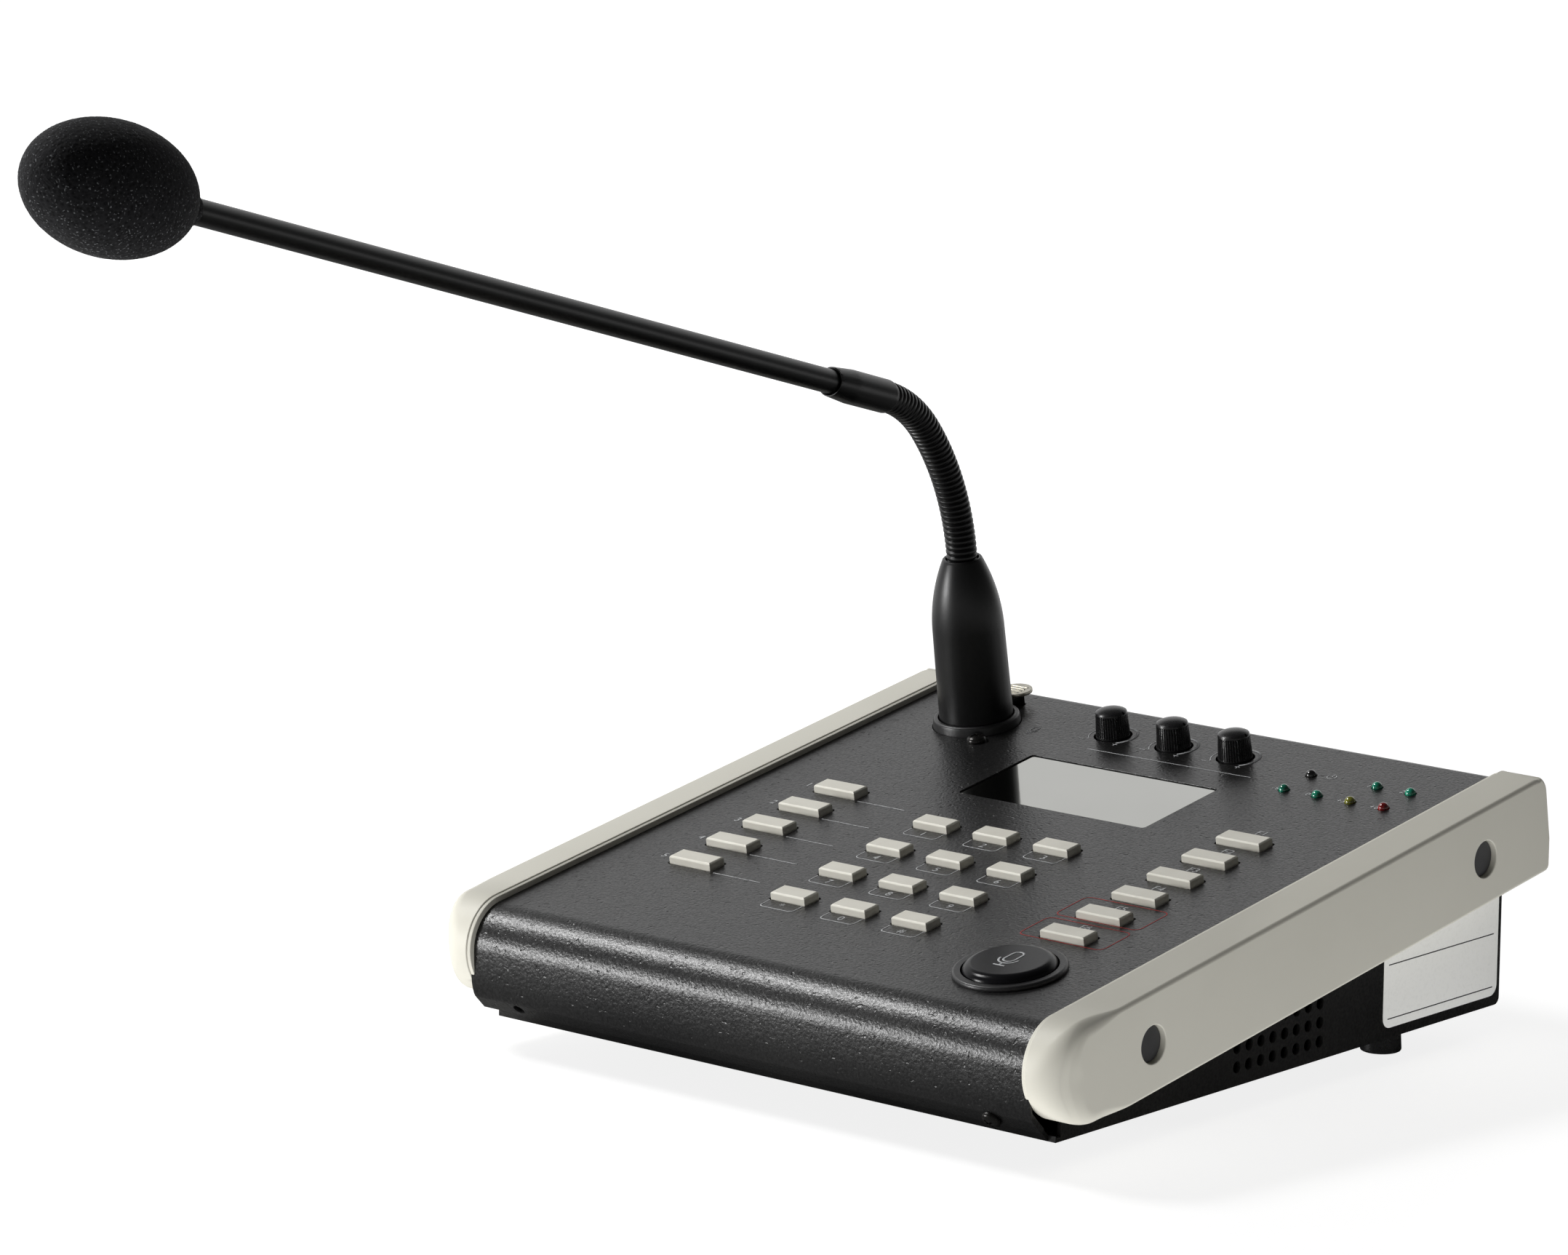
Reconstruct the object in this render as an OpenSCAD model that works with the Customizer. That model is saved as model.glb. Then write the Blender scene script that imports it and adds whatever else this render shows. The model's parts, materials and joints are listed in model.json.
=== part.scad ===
// Paging call station: a sloped steel desk console with a gooseneck microphone, a twelve-key
// pad, line and function keys, volume knobs, a display and a talk button. Moulded end panels
// with a full-round nose close both sides. All lengths are in millimetres.
// +X is right, +Y is rear and +Z is up. The origin is on the desk, under the middle of the tray.

/* [Case] */
// Width of the metal case
case_w = 185; // [181:1:195]
// Depth of the metal case
case_d = 190; // [188:1:204]
// Slope of the control panel in degrees
slope = 9.2; // [7:0.2:11]
// Height of the panel line over the tray's underside, above the tray's front edge
front_h = 31.2; // [30:0.2:36]
// Sheet thickness of the cover
cover_t = 1.5; // [1.2:0.1:1.8]
// Sheet thickness of the tray
tray_t = 1.2; // [1:0.1:1.5]
// Distance of the rolled front's axis behind the tray's front edge
roll_back = 0.7; // [0:0.1:2]
// Outside radius of the cover's rear bend
rear_r = 4.5; // [3:0.1:6]
// Depth of the cover's rear flange below its bend
rear_flange = 12; // [10:0.5:14]
// Outside radius of the bend under the rolled front
lip_r = 3; // [2:0.1:4]
// Stretch of the tray's slanted front flange that shows below the cover
flange_show = 6.4; // [5.5:0.1:7]
// Setback of the tray's side walls behind its front edge
wall_setback = 2; // [1:0.5:4]
// Outside radius of the tray's rear bend
tray_r = 2; // [1.8:0.1:3]
// Height of the feet
foot_h = 8; // [5:0.5:12]
// Diameter of the feet at the desk
foot_d = 11; // [9:0.5:14]
// Half the spacing of the rear feet across the case
foot_x = 80; // [70:1:82]
// Half the spacing of the front feet across the case
foot_front_x = 60; // [40:1:64]
// Half the spacing of the feet along the case
foot_y = 58; // [40:1:75]

/* [Vents and screws] */
// Diameter of a vent hole
vent_d = 3.1; // [2.5:0.1:3.6]
// Pitch of the vent holes
vent_pitch = 5; // [4.5:0.1:6]
// Vent columns on each side
vent_cols = 8; // [4:1:10]
// Vent rows on each side
vent_rows = 3; // [2:1:3]
// First vent column, behind the tray's front edge
vent_y = 73.5; // [60:0.5:90]
// First vent row, above the tray's underside
vent_z = 4.9; // [4:0.1:6]
// Distance of the cover screws from the middle of the case
cover_screw_x = 78.5; // [70:0.5:82]
// Thread diameter of the small screws
screw_d = 3; // [2.5:0.1:3.5]
// Thread diameter of the end panel screws
end_screw_d = 4; // [3:0.5:5]

/* [End panels] */
// Width of an end panel beside the case
end_w = 11.5; // [10:0.5:14]
// Height of an end panel, square to the control panel
end_h = 26.8; // [25:0.2:28.6]
// Rise of the rim over the control panel
rim_h = 1.8; // [1.2:0.1:2.4]
// Overlap of the rim's lip on the control panel
rim_lip = 1.3; // [0.8:0.1:2]
// Fall of the rim's top face towards its outer edge
rim_fall = 0.8; // [0.4:0.1:1.2]
// Reach of the end panels past the case's rear face
end_over = 3.5; // [2:0.1:5]
// Drop from the rim to the corner where the rear end turns upright
end_kink = 18.3; // [14:0.1:20]
// Radius of the upper rear corner
end_top_r = 5; // [3:0.5:7]
// Radius of the lower rear corner
end_low_r = 2; // [1:0.2:3]
// Rounding of the nose's outer edge
nose_round = 9; // [6:0.5:9.5]
// Length over which that rounding fades into the straight rim
nose_fade = 13; // [10:0.5:15]
// Angle from the top of the nose to the end of the lip
lip_sweep = 120; // [100:1:125]
// Wall of the hollow moulding
end_wall = 2.6; // [2:0.1:3.2]
// Diameter of the screw wells
well_d = 9.8; // [9:0.1:11]
// Depth of a plug's face below the outer face
plug_recess = 1.5; // [0.5:0.1:2]
// Thickness of a plug
plug_t = 2; // [1.5:0.1:2.5]
// Front screw well, up the slope
well_front = 22; // [21:0.5:40]
// Rear screw well, up the slope
well_rear = 164; // [140:0.5:172]
// Drop of the screw wells below the panel's middle line
well_drop = 0.9; // [0:0.1:2]

/* [Keys] */
// Length of a line or function key
long_key_w = 14; // [12:0.5:16]
// Length of a digit key
digit_key_w = 11.4; // [10:0.2:14]
// Depth of every key, up the slope
key_d = 5.8; // [5:0.2:7]
// Rise of a key over the panel
key_h = 2; // [1.5:0.1:3]
// Bevel along a key's long edges
key_bevel = 0.9; // [0.4:0.1:1.2]
// Bevel along a key's short edges
key_end_bevel = 0.4; // [0.2:0.1:0.8]
// Clearance around a key in its slot
slot_gap = 0.6; // [0.4:0.1:0.9]
// Travel of a key
key_travel = 0.8; // [0.5:0.1:1]
// Column of the line keys
line_x = -62; // [-66:0.5:-58]
// Rear line key, up the slope
line_v = 103; // [100:0.5:108]
// Pitch of the line keys
line_pitch = 14.8; // [13:0.1:16]
// Middle column of the digit keys
digit_x = -1; // [-4:0.5:4]
// Rear row of the digit keys
digit_v = 93.3; // [90:0.1:98]
// Pitch of the digit keys across
digit_pitch_x = 20.15; // [18:0.05:22]
// Pitch of the digit keys along
digit_pitch_v = 19.37; // [16:0.01:20]
// Column of the function keys
function_x = 60.6; // [56:0.1:64]
// Rear function key, up the slope
function_v = 118.9; // [116:0.1:122]
// Pitch of the function keys
function_pitch = 14.72; // [13.5:0.01:15]

/* [Talk button] */
// Place across of the talk button
talk_x = 61.4; // [57:0.1:64]
// Distance of the talk button from the case's side
talk_side = 31.1; // [29:0.1:34]
// Place up the slope of the talk button
talk_v = 20.5; // [19:0.1:23]
// Outer diameter of the talk bezel
bezel_d = 29.4; // [28:0.2:31]
// Rise of the bezel over the panel
bezel_h = 1.3; // [1:0.1:2]
// Diameter of the talk cap
talk_d = 24.3; // [22:0.1:25]
// Diameter of the cap's flat top
talk_flat = 19.2; // [16:0.1:20]
// Rise of the cap over the panel
talk_h = 3; // [2.6:0.1:4]
// Travel of the talk button
talk_travel = 2; // [1:0.1:2.2]

/* [Display, knobs and lamps] */
// Middle of the display across
window_x = -1.75; // [-4:0.05:4]
// Middle of the display up the slope
window_v = 133; // [131:0.5:136]
// Distance of the display's middle from the case's rear
window_back = 57; // [55:0.5:62]
// Width of the display opening
window_w = 62.5; // [56:0.5:68]
// Depth of the display opening
window_d = 32.4; // [26:0.2:33]
// Thickness of the display window's flange, under the cover
window_t = 1.6; // [1:0.1:2.5]
// Depth of the display window's face below the panel
window_sink = 0.3; // [0.1:0.05:0.6]
// Middle knob across
knob_x = -1.75; // [-4:0.05:4]
// Distance of the knobs from the case's rear
knob_back = 19.1; // [18:0.1:21]
// Pitch of the knobs
knob_pitch = 20.65; // [18:0.05:22]
// Diameter of a knob at the panel
knob_d = 9.4; // [8:0.1:10]
// Diameter of a knob's rim
knob_top_d = 8.6; // [7.6:0.1:9]
// Height of a knob's rim over the panel
knob_h = 7.1; // [6:0.1:9]
// Rise of the knob's crown over its rim
knob_crown = 0.9; // [0.5:0.1:1.2]
// Diameter of a knob's spindle
spindle_d = 4; // [3:0.1:4.4]
// Diameter of a lamp
led_d = 3; // [2.5:0.1:3.4]
// Rise of a lamp over the panel
led_h = 1.6; // [1.5:0.1:2.5]
// Distance of the front row of lamps from the case's rear
led_front_back = 33.7; // [32:0.1:36]
// Distance of the rear row of lamps from the case's rear
led_rear_back = 21.6; // [19:0.1:24]
// First lamp across
led_x = 45.8; // [44:0.1:50]
// Pitch of the lamps
led_pitch = 10.72; // [9:0.01:11]

/* [Microphone] */
// Place across of the microphone socket
mic_x = -63.3; // [-66:0.1:-58]
// Distance of the microphone socket from the case's rear
mic_back = 27.1; // [25:0.1:30]
// Outer diameter of the socket ring
ring_d = 24.2; // [23:0.1:24.6]
// Rise of the socket ring over the panel
ring_h = 2.6; // [2:0.1:4]
// Distance of the latch tab behind the socket
latch_back = 17.4; // [16.6:0.1:18]
// Diameter of the latch tab
latch_d = 9.5; // [8:0.1:11]
// Height of the latch tab over the panel
latch_h = 4.2; // [3:0.1:6]
// Travel of the latch
latch_travel = 1.5; // [1:0.1:2]
// Diameter of the barrel at the panel
barrel_d = 20.4; // [19:0.1:20.6]
// Diameter of the barrel where it starts to narrow
barrel_mid_d = 19.7; // [17:0.1:20]
// Diameter of the barrel's top
barrel_top_d = 10.6; // [10:0.1:12]
// Height over the panel at which the barrel starts to narrow
barrel_mid_h = 27; // [20:0.5:32]
// Height of the barrel's top over the panel
barrel_h = 47.7; // [44:0.1:54]
// Crest diameter of the flexible neck
flex_d = 8.5; // [6.8:0.1:9]
// Pitch of the neck's ribs
rib_pitch = 1.6; // [1.4:0.1:2.5]
// Depth of the grooves between the ribs
rib_depth = 0.4; // [0.2:0.05:0.6]
// Radius of the neck's lower bend
flex_r1 = 72.5; // [50:0.5:110]
// Turn of the lower bend in degrees
flex_turn1 = 31.4; // [20:0.1:40]
// Radius of the neck's upper bend
flex_r2 = 35; // [24:0.5:50]
// Turn of the upper bend in degrees
flex_turn2 = 33.1; // [20:0.1:40]
// Largest diameter of the collar
collar_d = 9.3; // [9:0.1:11]
// Length of the collar
collar_len = 24; // [20:0.5:32]
// Diameter of the rod
rod_d = 6.6; // [5:0.1:7]
// Distance from the collar's neck end to the windscreen
rod_reach = 273; // [150:1:320]
// Diameter of the windscreen
screen_d = 33; // [26:0.5:40]
// Length of the windscreen
screen_len = 51.5; // [44:0.5:64]

/* [Hidden] */
$fn = 64;
// Small named fits
run_gap = 0.3;
seat_gap = 0.15;
turn_gap = 0.1;
over_cut = 1;
part_gap = 1;
seam = 0.02;
hull_fn = 40;

// The places on the panel, from its middle, front and rear, share out the case's width and depth
place_w = 2 * (talk_x + talk_side);
place_d = window_v + window_back;
knob_v = place_d - knob_back;
led_front_v = place_d - led_front_back;
led_rear_v = place_d - led_rear_back;
mic_v = place_d - mic_back;
function over(x) = x * case_w / place_w;
function along(v) = v * case_d / place_d;

// Case section, measured from the tray's front corner
flange_a = 45;
nose_r = end_h / 2 - rim_h;
nose_v = (roll_back - nose_r * sin(slope)) / cos(slope);
nose_c = [roll_back, front_h + nose_v * sin(slope) - nose_r * cos(slope)];
front_y = roll_back - nose_r;
lip_corner_z = -front_y - cover_t * sqrt(2);
lip_c = [front_y + lip_r, lip_corner_z + lip_r * tan(flange_a / 2)];
rear_c = [case_d - rear_r,
          front_h + (case_d - rear_r) * tan(slope) - rear_r / cos(slope)];
flange_len = -(front_y + cover_t) * sqrt(2) - (lip_r - cover_t) * tan(flange_a / 2) - run_gap;
tray_d = case_d - cover_t;
wall_x = case_w / 2 - tray_t;
rear_v = (case_d - rear_r) / cos(slope) - rear_r * tan(slope);

// End panel, in the panel frame
end_x = case_w / 2;
end_low = rim_h - end_h;
end_mid = rim_h - end_h / 2;
kink_l = rim_h - end_kink;
end_v = (case_d + end_over + kink_l * sin(slope)) / cos(slope);
well_l = end_mid - well_drop;
well_floor = 4;
well_at = [along(well_front), along(well_rear)];
boss_d = well_d + 2 * end_wall;
rib_t = 2;
fade_v = nose_v + nose_fade;
plug_d = well_d - 2 * seat_gap;
end_head_d = 8;
end_head_h = 2.6;
end_screw_in = 5;

// Panel fittings, as depths below the panel's top face
board_l = -11;
board_t = 1.6;
board_inset = 6.5;
board_edge = end_x - board_inset;
board_reach = 72;
board_step = 44;
board_notch = 52;
board_front = 4;
board_rear = 8;
board_left = over(-board_reach);
board_step_x = over(-board_step);
board_step_v = along(place_d - board_notch);
board_front_v = along(board_front);
board_rear_v = along(place_d - board_rear);
pillar_d = 6;
pillar_x = 42;
pillar_talk_x = 36;
pillar_lamp_x = 34;
pillar_end_x = 80;
pillar_front_v = 12;
pillar_mid_v = 108;
pillar_lamp_back = 12;
pillar_end_back = 48;
pillar_lamp_v = place_d - pillar_lamp_back;
pillar_end_v = place_d - pillar_end_back;
pillar_places = [[-pillar_x, pillar_front_v], [pillar_talk_x, pillar_front_v], [-pillar_x, pillar_mid_v],
    [pillar_x, pillar_mid_v], [pillar_lamp_x, pillar_lamp_v], [pillar_end_x, pillar_end_v]];
pillars = [for (p = pillar_places) [over(p[0]), along(p[1])]];
key_flange = 0.8;
key_flange_t = 1;
key_stem_d = 3;
switch_w = 6;
switch_h = 5;
switch_bore = 3;
stem_in = 1.4;
slot_r = 0.9;
talk_bore_d = talk_d + 2 * run_gap;
talk_hole_d = talk_bore_d + 2.4;
talk_skirt_l = -cover_t - 2.7;
talk_flange_t = 1;
talk_wall = 1.6;
talk_stem_d = 6;
talk_switch_w = 12;
talk_switch_h = 3;
talk_switch_bore = 2.6;
bezel_round = 0.8;
window_lap = 2.8;
window_r = 1.2;
module_lap = 4;
knob_hole_d = knob_d + 1.2;
knob_sink = 0.6;
knob_notch = 1;
pot_w = 9.6;
pot_h = 6;
pot_in = 3.5;
// Knob row, kept clear of the display
knob_row = max(along(knob_v),
               along(window_v) + window_d / 2 + module_lap + pot_w / 2 + part_gap);
led_flange = 0.4;
led_body = 3.2;
led_flange_t = 1;
led_lead_d = 0.5;
led_lead_x = 1.27;

// Lamps as [column, row place], by colour
led_green_at = [[0, led_front_v], [1, led_front_v], [2, led_rear_v], [3, led_rear_v]];
led_yellow_at = [[2, led_front_v]];
led_red_at = [[3, led_front_v]];
led_power_at = [[0, led_rear_v]];

// Keys
line_count = 5;
function_count = 6;
digit_names = ["1", "2", "3", "4", "5", "6", "7", "8", "9", "star", "0", "hash"];
line_keys = [for (k = [0 : line_count - 1])
    [str("line_key_", k + 1), over(line_x), along(line_v - k * line_pitch), long_key_w]];
digit_keys = [for (k = [0 : len(digit_names) - 1])
    [str("digit_key_", digit_names[k]), over(digit_x + (k % 3 - 1) * digit_pitch_x),
     along(digit_v - floor(k / 3) * digit_pitch_v), digit_key_w]];
function_keys = [for (k = [0 : function_count - 1])
    [str("function_key_", k + 1), over(function_x), along(function_v - k * function_pitch),
     long_key_w]];
keys = concat(line_keys, digit_keys, function_keys);

// Microphone, in the panel frame
socket_hole_d = ring_d + 0.4;
socket_plate = [26, 31, 2];
socket_body_d = 22;
socket_body_l = -21;
socket_bore_d = barrel_d + 2 * run_gap;
plug_nose_d = barrel_d - 2;
plug_nose_l = -15;
plug_step_l = -1;
socket_screw_at = [[9.5, -12], [-9.5, 12]];
small_head_d = 5.4;
small_head_h = 1.9;
latch_t = 1;
latch_stem = [5, 1.5];
latch_foot = [8, 3, 1];
latch_foot_l = -cover_t - run_gap;
ogive_drop = barrel_h - barrel_mid_h;
ogive_step = (barrel_mid_d - barrel_top_d) / 2;
ogive_r = (ogive_drop * ogive_drop + ogive_step * ogive_step) / (2 * ogive_step);
flex_bore_d = flex_d + 2 * run_gap;
flex_in = 6.7;
flex_end = flex_d;
flex_hole_d = 4.8;
stub_d = flex_d - 1.3;
flex_sides = 10;
flex_start_l = barrel_h - flex_in;
flex_len1 = flex_r1 * flex_turn1 * PI / 180;
flex_len2 = flex_r2 * flex_turn2 * PI / 180;
flex_len = 2 * flex_end + flex_len1 + flex_len2;
rib_count = floor(flex_len / rib_pitch);
rib_step = flex_len / rib_count;
arm_turn = flex_turn1 + flex_turn2;
arm_at = flex_at(flex_len - flex_end);
collar_end_d = collar_d - 0.1;
collar_mouth_d = rod_d + 1.4;
collar_taper = 8;
rod_in = flex_end + 2 * run_gap;
rod_bore_d = 4;
capsule_d = 9.5;
capsule_len = 22;
capsule_deep = 12;
capsule_at = rod_reach + capsule_deep;
capsule_hold = 3;
screen_neck = 2.6;
screen_neck_d = rod_d + 3;

// Rear sockets
main_z = 10;
main_front = 62;
main_post_front = 56;
main_post_rear = 12;
main_y = along(place_d - main_front);
main_w = 90;
main_pillar_x = 40;
main_pillar_y = [for (b = [main_post_front, main_post_rear]) along(place_d - b)];
socket_x = -16;
socket_size = [16, 16, 14];
socket_mouth = [11.8, 12.5, 8.4];
inlet_x = 18;
inlet_size = [9.6, 14, 11];
inlet_bore_d = 6.4;
inlet_bore_len = 10;
inlet_pin_d = 2;
rear_proud = 0.6;
rear_screw_drop = 6;

key_names = [for (k = keys) k[0]];

// Frames and shared shapes

// Frame at the tray's front corner: y runs back along the floor, z up
module case_frame() {
    translate([0, -case_d / 2, foot_h]) children();
}

// Frame on the control panel: y runs up the slope, z is square to the panel
module panel_frame() {
    case_frame() translate([0, 0, front_h]) rotate([slope, 0, 0]) children();
}

// Frame on the tray's front flange, s along it from the tray's corner, z outwards
module flange_frame(x, s) {
    case_frame()
        translate([x, -s * cos(flange_a), s * sin(flange_a)])
            rotate([180 - flange_a, 0, 0]) children();
}

// Frame at the collar's neck end, z along the rod
module arm_frame() {
    panel_frame()
        translate([over(mic_x), arm_at[0], arm_at[1]])
            rotate([arm_turn, 0, 0]) children();
}

// Extrudes a (y, z) section across the case
module across(x0, x1) {
    translate([x0, 0, 0]) rotate([90, 0, 90]) linear_extrude(x1 - x0) children();
}

// Cylinder along X
module cross_pin(x0, x1, d) {
    translate([x0, 0, 0]) rotate([0, 90, 0]) cylinder(d = d, h = x1 - x0);
}

function polar(r, a) = r * [cos(a), sin(a)];

function rounded(w, d, r) = [for (q = [0 : 3], i = [0 : 4])
    let (a = 90 * q + 22.5 * i)
    [(q == 0 || q == 3 ? 1 : -1) * (w / 2 - r), (q < 2 ? 1 : -1) * (d / 2 - r)] + polar(r, a)];

// Screw with a low head on z = 0, its shank going down
module screw(d, head_d, head_h, len) {
    rotate_extrude()
        polygon([[0, -len], [d / 2, -len], [d / 2, 0], [head_d / 2, 0],
                 [head_d / 2, head_h * 0.5], [head_d * 0.32, head_h], [0, head_h]]);
}

// Case

// Block with the cover's side shape, inset from its outer face, open ends run on by past
module cover_block(inset, past) {
    lip_from = polar(flange_show - past, 180 - flange_a);
    lip_end = lip_from + polar(cover_t - inset, 180 + flange_a);
    rear_end = [case_d - inset, rear_c[1] - rear_flange - past];
    half = case_w / 2 + past;
    union() {
        for (c = [[nose_c, nose_r], [rear_c, rear_r], [lip_c, lip_r]])
            translate([0, c[0][0], c[0][1]]) cross_pin(-half, half, 2 * (c[1] - inset));
        across(-half, half)
            polygon([nose_c + polar(nose_r - inset, 90 + slope),
                     rear_c + polar(rear_r - inset, 90 + slope), rear_c + [rear_r - inset, 0],
                     rear_end, [case_d - cover_t, rear_end[1]], lip_from, lip_end,
                     lip_c + polar(lip_r - inset, 180 + flange_a),
                     lip_c - [lip_r - inset, 0], nose_c - [nose_r - inset, 0]]);
    }
}

function knob_at(k) = over(knob_x + k * knob_pitch);
function led_at(column) = over(led_x + column * led_pitch);

module panel_openings() {
    for (k = keys)
        translate([k[1], k[2]])
            polygon(rounded(k[3] + 2 * slot_gap, key_d + 2 * slot_gap, slot_r));
    translate([over(talk_x), along(talk_v)]) circle(d = talk_hole_d);
    translate([over(window_x), along(window_v)]) polygon(rounded(window_w, window_d, window_r));
    for (k = [-1 : 1]) translate([knob_at(k), knob_row]) circle(d = knob_hole_d);
    for (l = concat(led_green_at, led_yellow_at, led_red_at, led_power_at))
        translate([led_at(l[0]), along(l[1])]) circle(d = led_d + 2 * seat_gap);
    translate([over(mic_x), along(mic_v)]) {
        circle(d = socket_hole_d);
        for (s = socket_screw_at) translate(s) circle(d = screw_d + 2 * seat_gap);
        translate([0, latch_back]) square(latch_stem + 2 * run_gap * [1, 1], center = true);
    }
}

module cover_screw_holes(d) {
    for (x = [-1, 1] * over(cover_screw_x)) {
        flange_frame(x, screw_s()) cylinder(d = d, h = 6 * cover_t, center = true);
        case_frame() translate([x, case_d, rear_screw_z()])
            rotate([90, 0, 0]) cylinder(d = d, h = 6 * cover_t, center = true);
    }
}

// Middle of the overlap of cover and front flange
function screw_s() = (flange_show + flange_len) / 2 - run_gap;
function rear_screw_z() = rear_c[1] - rear_screw_drop;

module top_cover() {
    color([0.16, 0.16, 0.17]) difference() {
        case_frame() difference() {
            cover_block(0, 0);
            cover_block(cover_t, over_cut);
        }
        panel_frame() translate([0, 0, -cover_t - over_cut])
            linear_extrude(cover_t + 2 * over_cut) panel_openings();
        cover_screw_holes(screw_d + 2 * seat_gap);
    }
}

function tray_bend(r, steps) = [for (i = steps) [tray_d - tray_r, tray_r] + polar(r, 15 * i - 90)];

module tray_section() {
    tip = polar(flange_len, 180 - flange_a);
    polygon(concat([[0, 0]], tray_bend(tray_r, [0 : 6]),
                   [[tray_d, rear_c[1]], [tray_d - tray_t, rear_c[1]]],
                   tray_bend(tray_r - tray_t, [6 : -1 : 0]),
                   [[tray_t * tan(flange_a / 2), tray_t], tip + polar(tray_t, flange_a), tip]));
}

function under_panel(y) = front_h + y * tan(slope) - cover_t / cos(slope);

module tray_wall() {
    polygon(concat([[wall_setback, 0]], tray_bend(tray_r, [0 : 6]),
                   [[tray_d, rear_c[1]], [rear_c[0], under_panel(rear_c[0])],
                    [wall_setback, under_panel(wall_setback)]]));
}

module vents() {
    for (i = [0 : vent_cols - 1], j = [0 : vent_rows - 1])
        case_frame() translate([0, along(vent_y) + i * vent_pitch, vent_z + j * vent_pitch])
            for (x = [-1, 1] * (case_w / 2))
                cross_pin(x - 2 * tray_t, x + 2 * tray_t, vent_d);
}

module at_feet() {
    for (f = [[foot_front_x, -foot_y], [foot_x, foot_y]], x = [-1, 1] * over(f[0]))
        translate([x, along(f[1]), 0]) children();
}

module at_wells() {
    for (v = well_at) panel_frame() translate([0, v, well_l]) children();
}

foot_stem_d = 4.6;
foot_barb_d = 6.4;

module bottom_tray() {
    color([0.1, 0.1, 0.11]) difference() {
        case_frame() union() {
            across(-case_w / 2, case_w / 2) tray_section();
            for (x = [-case_w / 2, wall_x]) across(x, x + tray_t) tray_wall();
        }
        vents();
        at_feet() cylinder(d = foot_stem_d + 2 * seat_gap, h = foot_h + 2 * tray_t);
        at_wells() for (x = [-1, 1] * (case_w / 2))
            cross_pin(x - 2 * tray_t, x + 2 * tray_t, end_screw_d + 2 * seat_gap);
        cover_screw_holes(screw_d + 2 * seat_gap);
        for (s = [[socket_x, socket_size], [inlet_x, inlet_size]])
            at_rear(s[0], s[1], run_gap) translate([0, -over_cut, 0]) cube(rear_hole(s[1]));
        for (w = [1, -1]) relief(w);
    }
}

// Notch between the front flange and each side wall
module relief(w) {
    case_frame() translate([w * (case_w / 2 - tray_t), -flange_len, -over_cut])
        translate([-tray_t, 0, 0]) cube([2 * tray_t, flange_len, flange_len + 2 * over_cut]);
}

module feet() {
    color([0.06, 0.06, 0.06]) at_feet() rotate_extrude()
        polygon([[0, 0], [foot_d / 2 - 0.4, 0], [foot_d / 2, 0.4],
                 [foot_d / 2 - 0.4, foot_h], [foot_stem_d / 2, foot_h],
                 [foot_stem_d / 2, foot_h + tray_t + seat_gap],
                 [foot_barb_d / 2, foot_h + tray_t + seat_gap],
                 [foot_stem_d / 2, foot_h + tray_t + foot_stem_d / 2],
                 [0, foot_h + tray_t + foot_stem_d / 2]]);
}

// Screws of the cover: one at the front on the right, two at the rear
module cover_screws() {
    color([0.2, 0.2, 0.2]) {
        flange_frame(over(cover_screw_x), screw_s())
            translate([0, 0, cover_t]) screw(screw_d, small_head_d, small_head_h, 2 * screw_d);
        for (x = [-1, 1] * over(cover_screw_x))
            case_frame() translate([x, case_d, rear_screw_z()])
                rotate([-90, 0, 0]) screw(screw_d, small_head_d, small_head_h, 2 * screw_d);
    }
}

// End panels

module end_outline() {
    low_v = end_v + (end_low + end_low_r - kink_l) * tan(slope) - end_low_r / cos(slope);
    low_c = [low_v, end_low + end_low_r];
    translate([nose_v, end_mid]) circle(end_h / 2);
    translate([end_v - end_top_r, rim_h - end_top_r]) circle(end_top_r);
    translate(low_c) circle(end_low_r);
    polygon([[nose_v, rim_h], [end_v - end_top_r, rim_h],
             [end_v - end_top_r, rim_h - end_top_r], [end_v, rim_h - end_top_r],
             [end_v, kink_l], low_c + polar(end_low_r, -slope), low_c,
             [low_v, end_low], [nose_v, end_low]]);
}

// Space that the cover fills, in the panel frame
module cover_envelope() {
    translate([nose_v, -nose_r]) circle(nose_r);
    translate([nose_v, -nose_r - end_h]) square([rear_v - nose_v, nose_r + end_h]);
    translate([nose_v, -nose_r]) rotate(-slope) translate([-nose_r, -end_h])
        square([nose_r, end_h]);
}

// Rim lip on the cover, from the rear bend round the nose
module lip_outline() {
    difference() {
        intersection() {
            end_outline();
            union() {
                translate([nose_v, end_mid]) square([rear_v - nose_v, end_h]);
                translate([nose_v, end_mid])
                    polygon(concat([[0, 0]],
                        [for (i = [0 : 4]) polar(end_h, 90 + lip_sweep * i / 4)]));
            }
        }
        cover_envelope();
    }
}

// Full-round nose that fades into the straight rim
module end_nose() {
    x_round = end_w - nose_round;
    r_round = end_h / 2 - nose_round;
    hull() {
        translate([end_x, nose_v, end_mid]) rotate([90, 0, 90])
            rotate_extrude($fn = hull_fn)
                polygon(concat([[0, 0], [end_h / 2, 0]],
                    [for (a = [0 : 15 : 90]) [r_round, x_round] + polar(nose_round, a)],
                    [[0, end_w]]));
        translate([0, fade_v, 0]) rotate([90, 0, 0]) linear_extrude(seam)
            polygon([[end_x, end_low], [end_x + end_w, end_low],
                     [end_x + end_w, rim_h - rim_fall], [end_x, rim_h]]);
    }
}

module rim_fall_cut() {
    translate([0, end_v + over_cut, 0]) rotate([90, 0, 0]) linear_extrude(end_v + over_cut - fade_v)
        polygon([[end_x, rim_h], [end_x + end_w + over_cut, rim_h - rim_fall * (1 + over_cut / end_w)],
                 [end_x + end_w + over_cut, rim_h + over_cut], [end_x, rim_h + over_cut]]);
}

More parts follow.
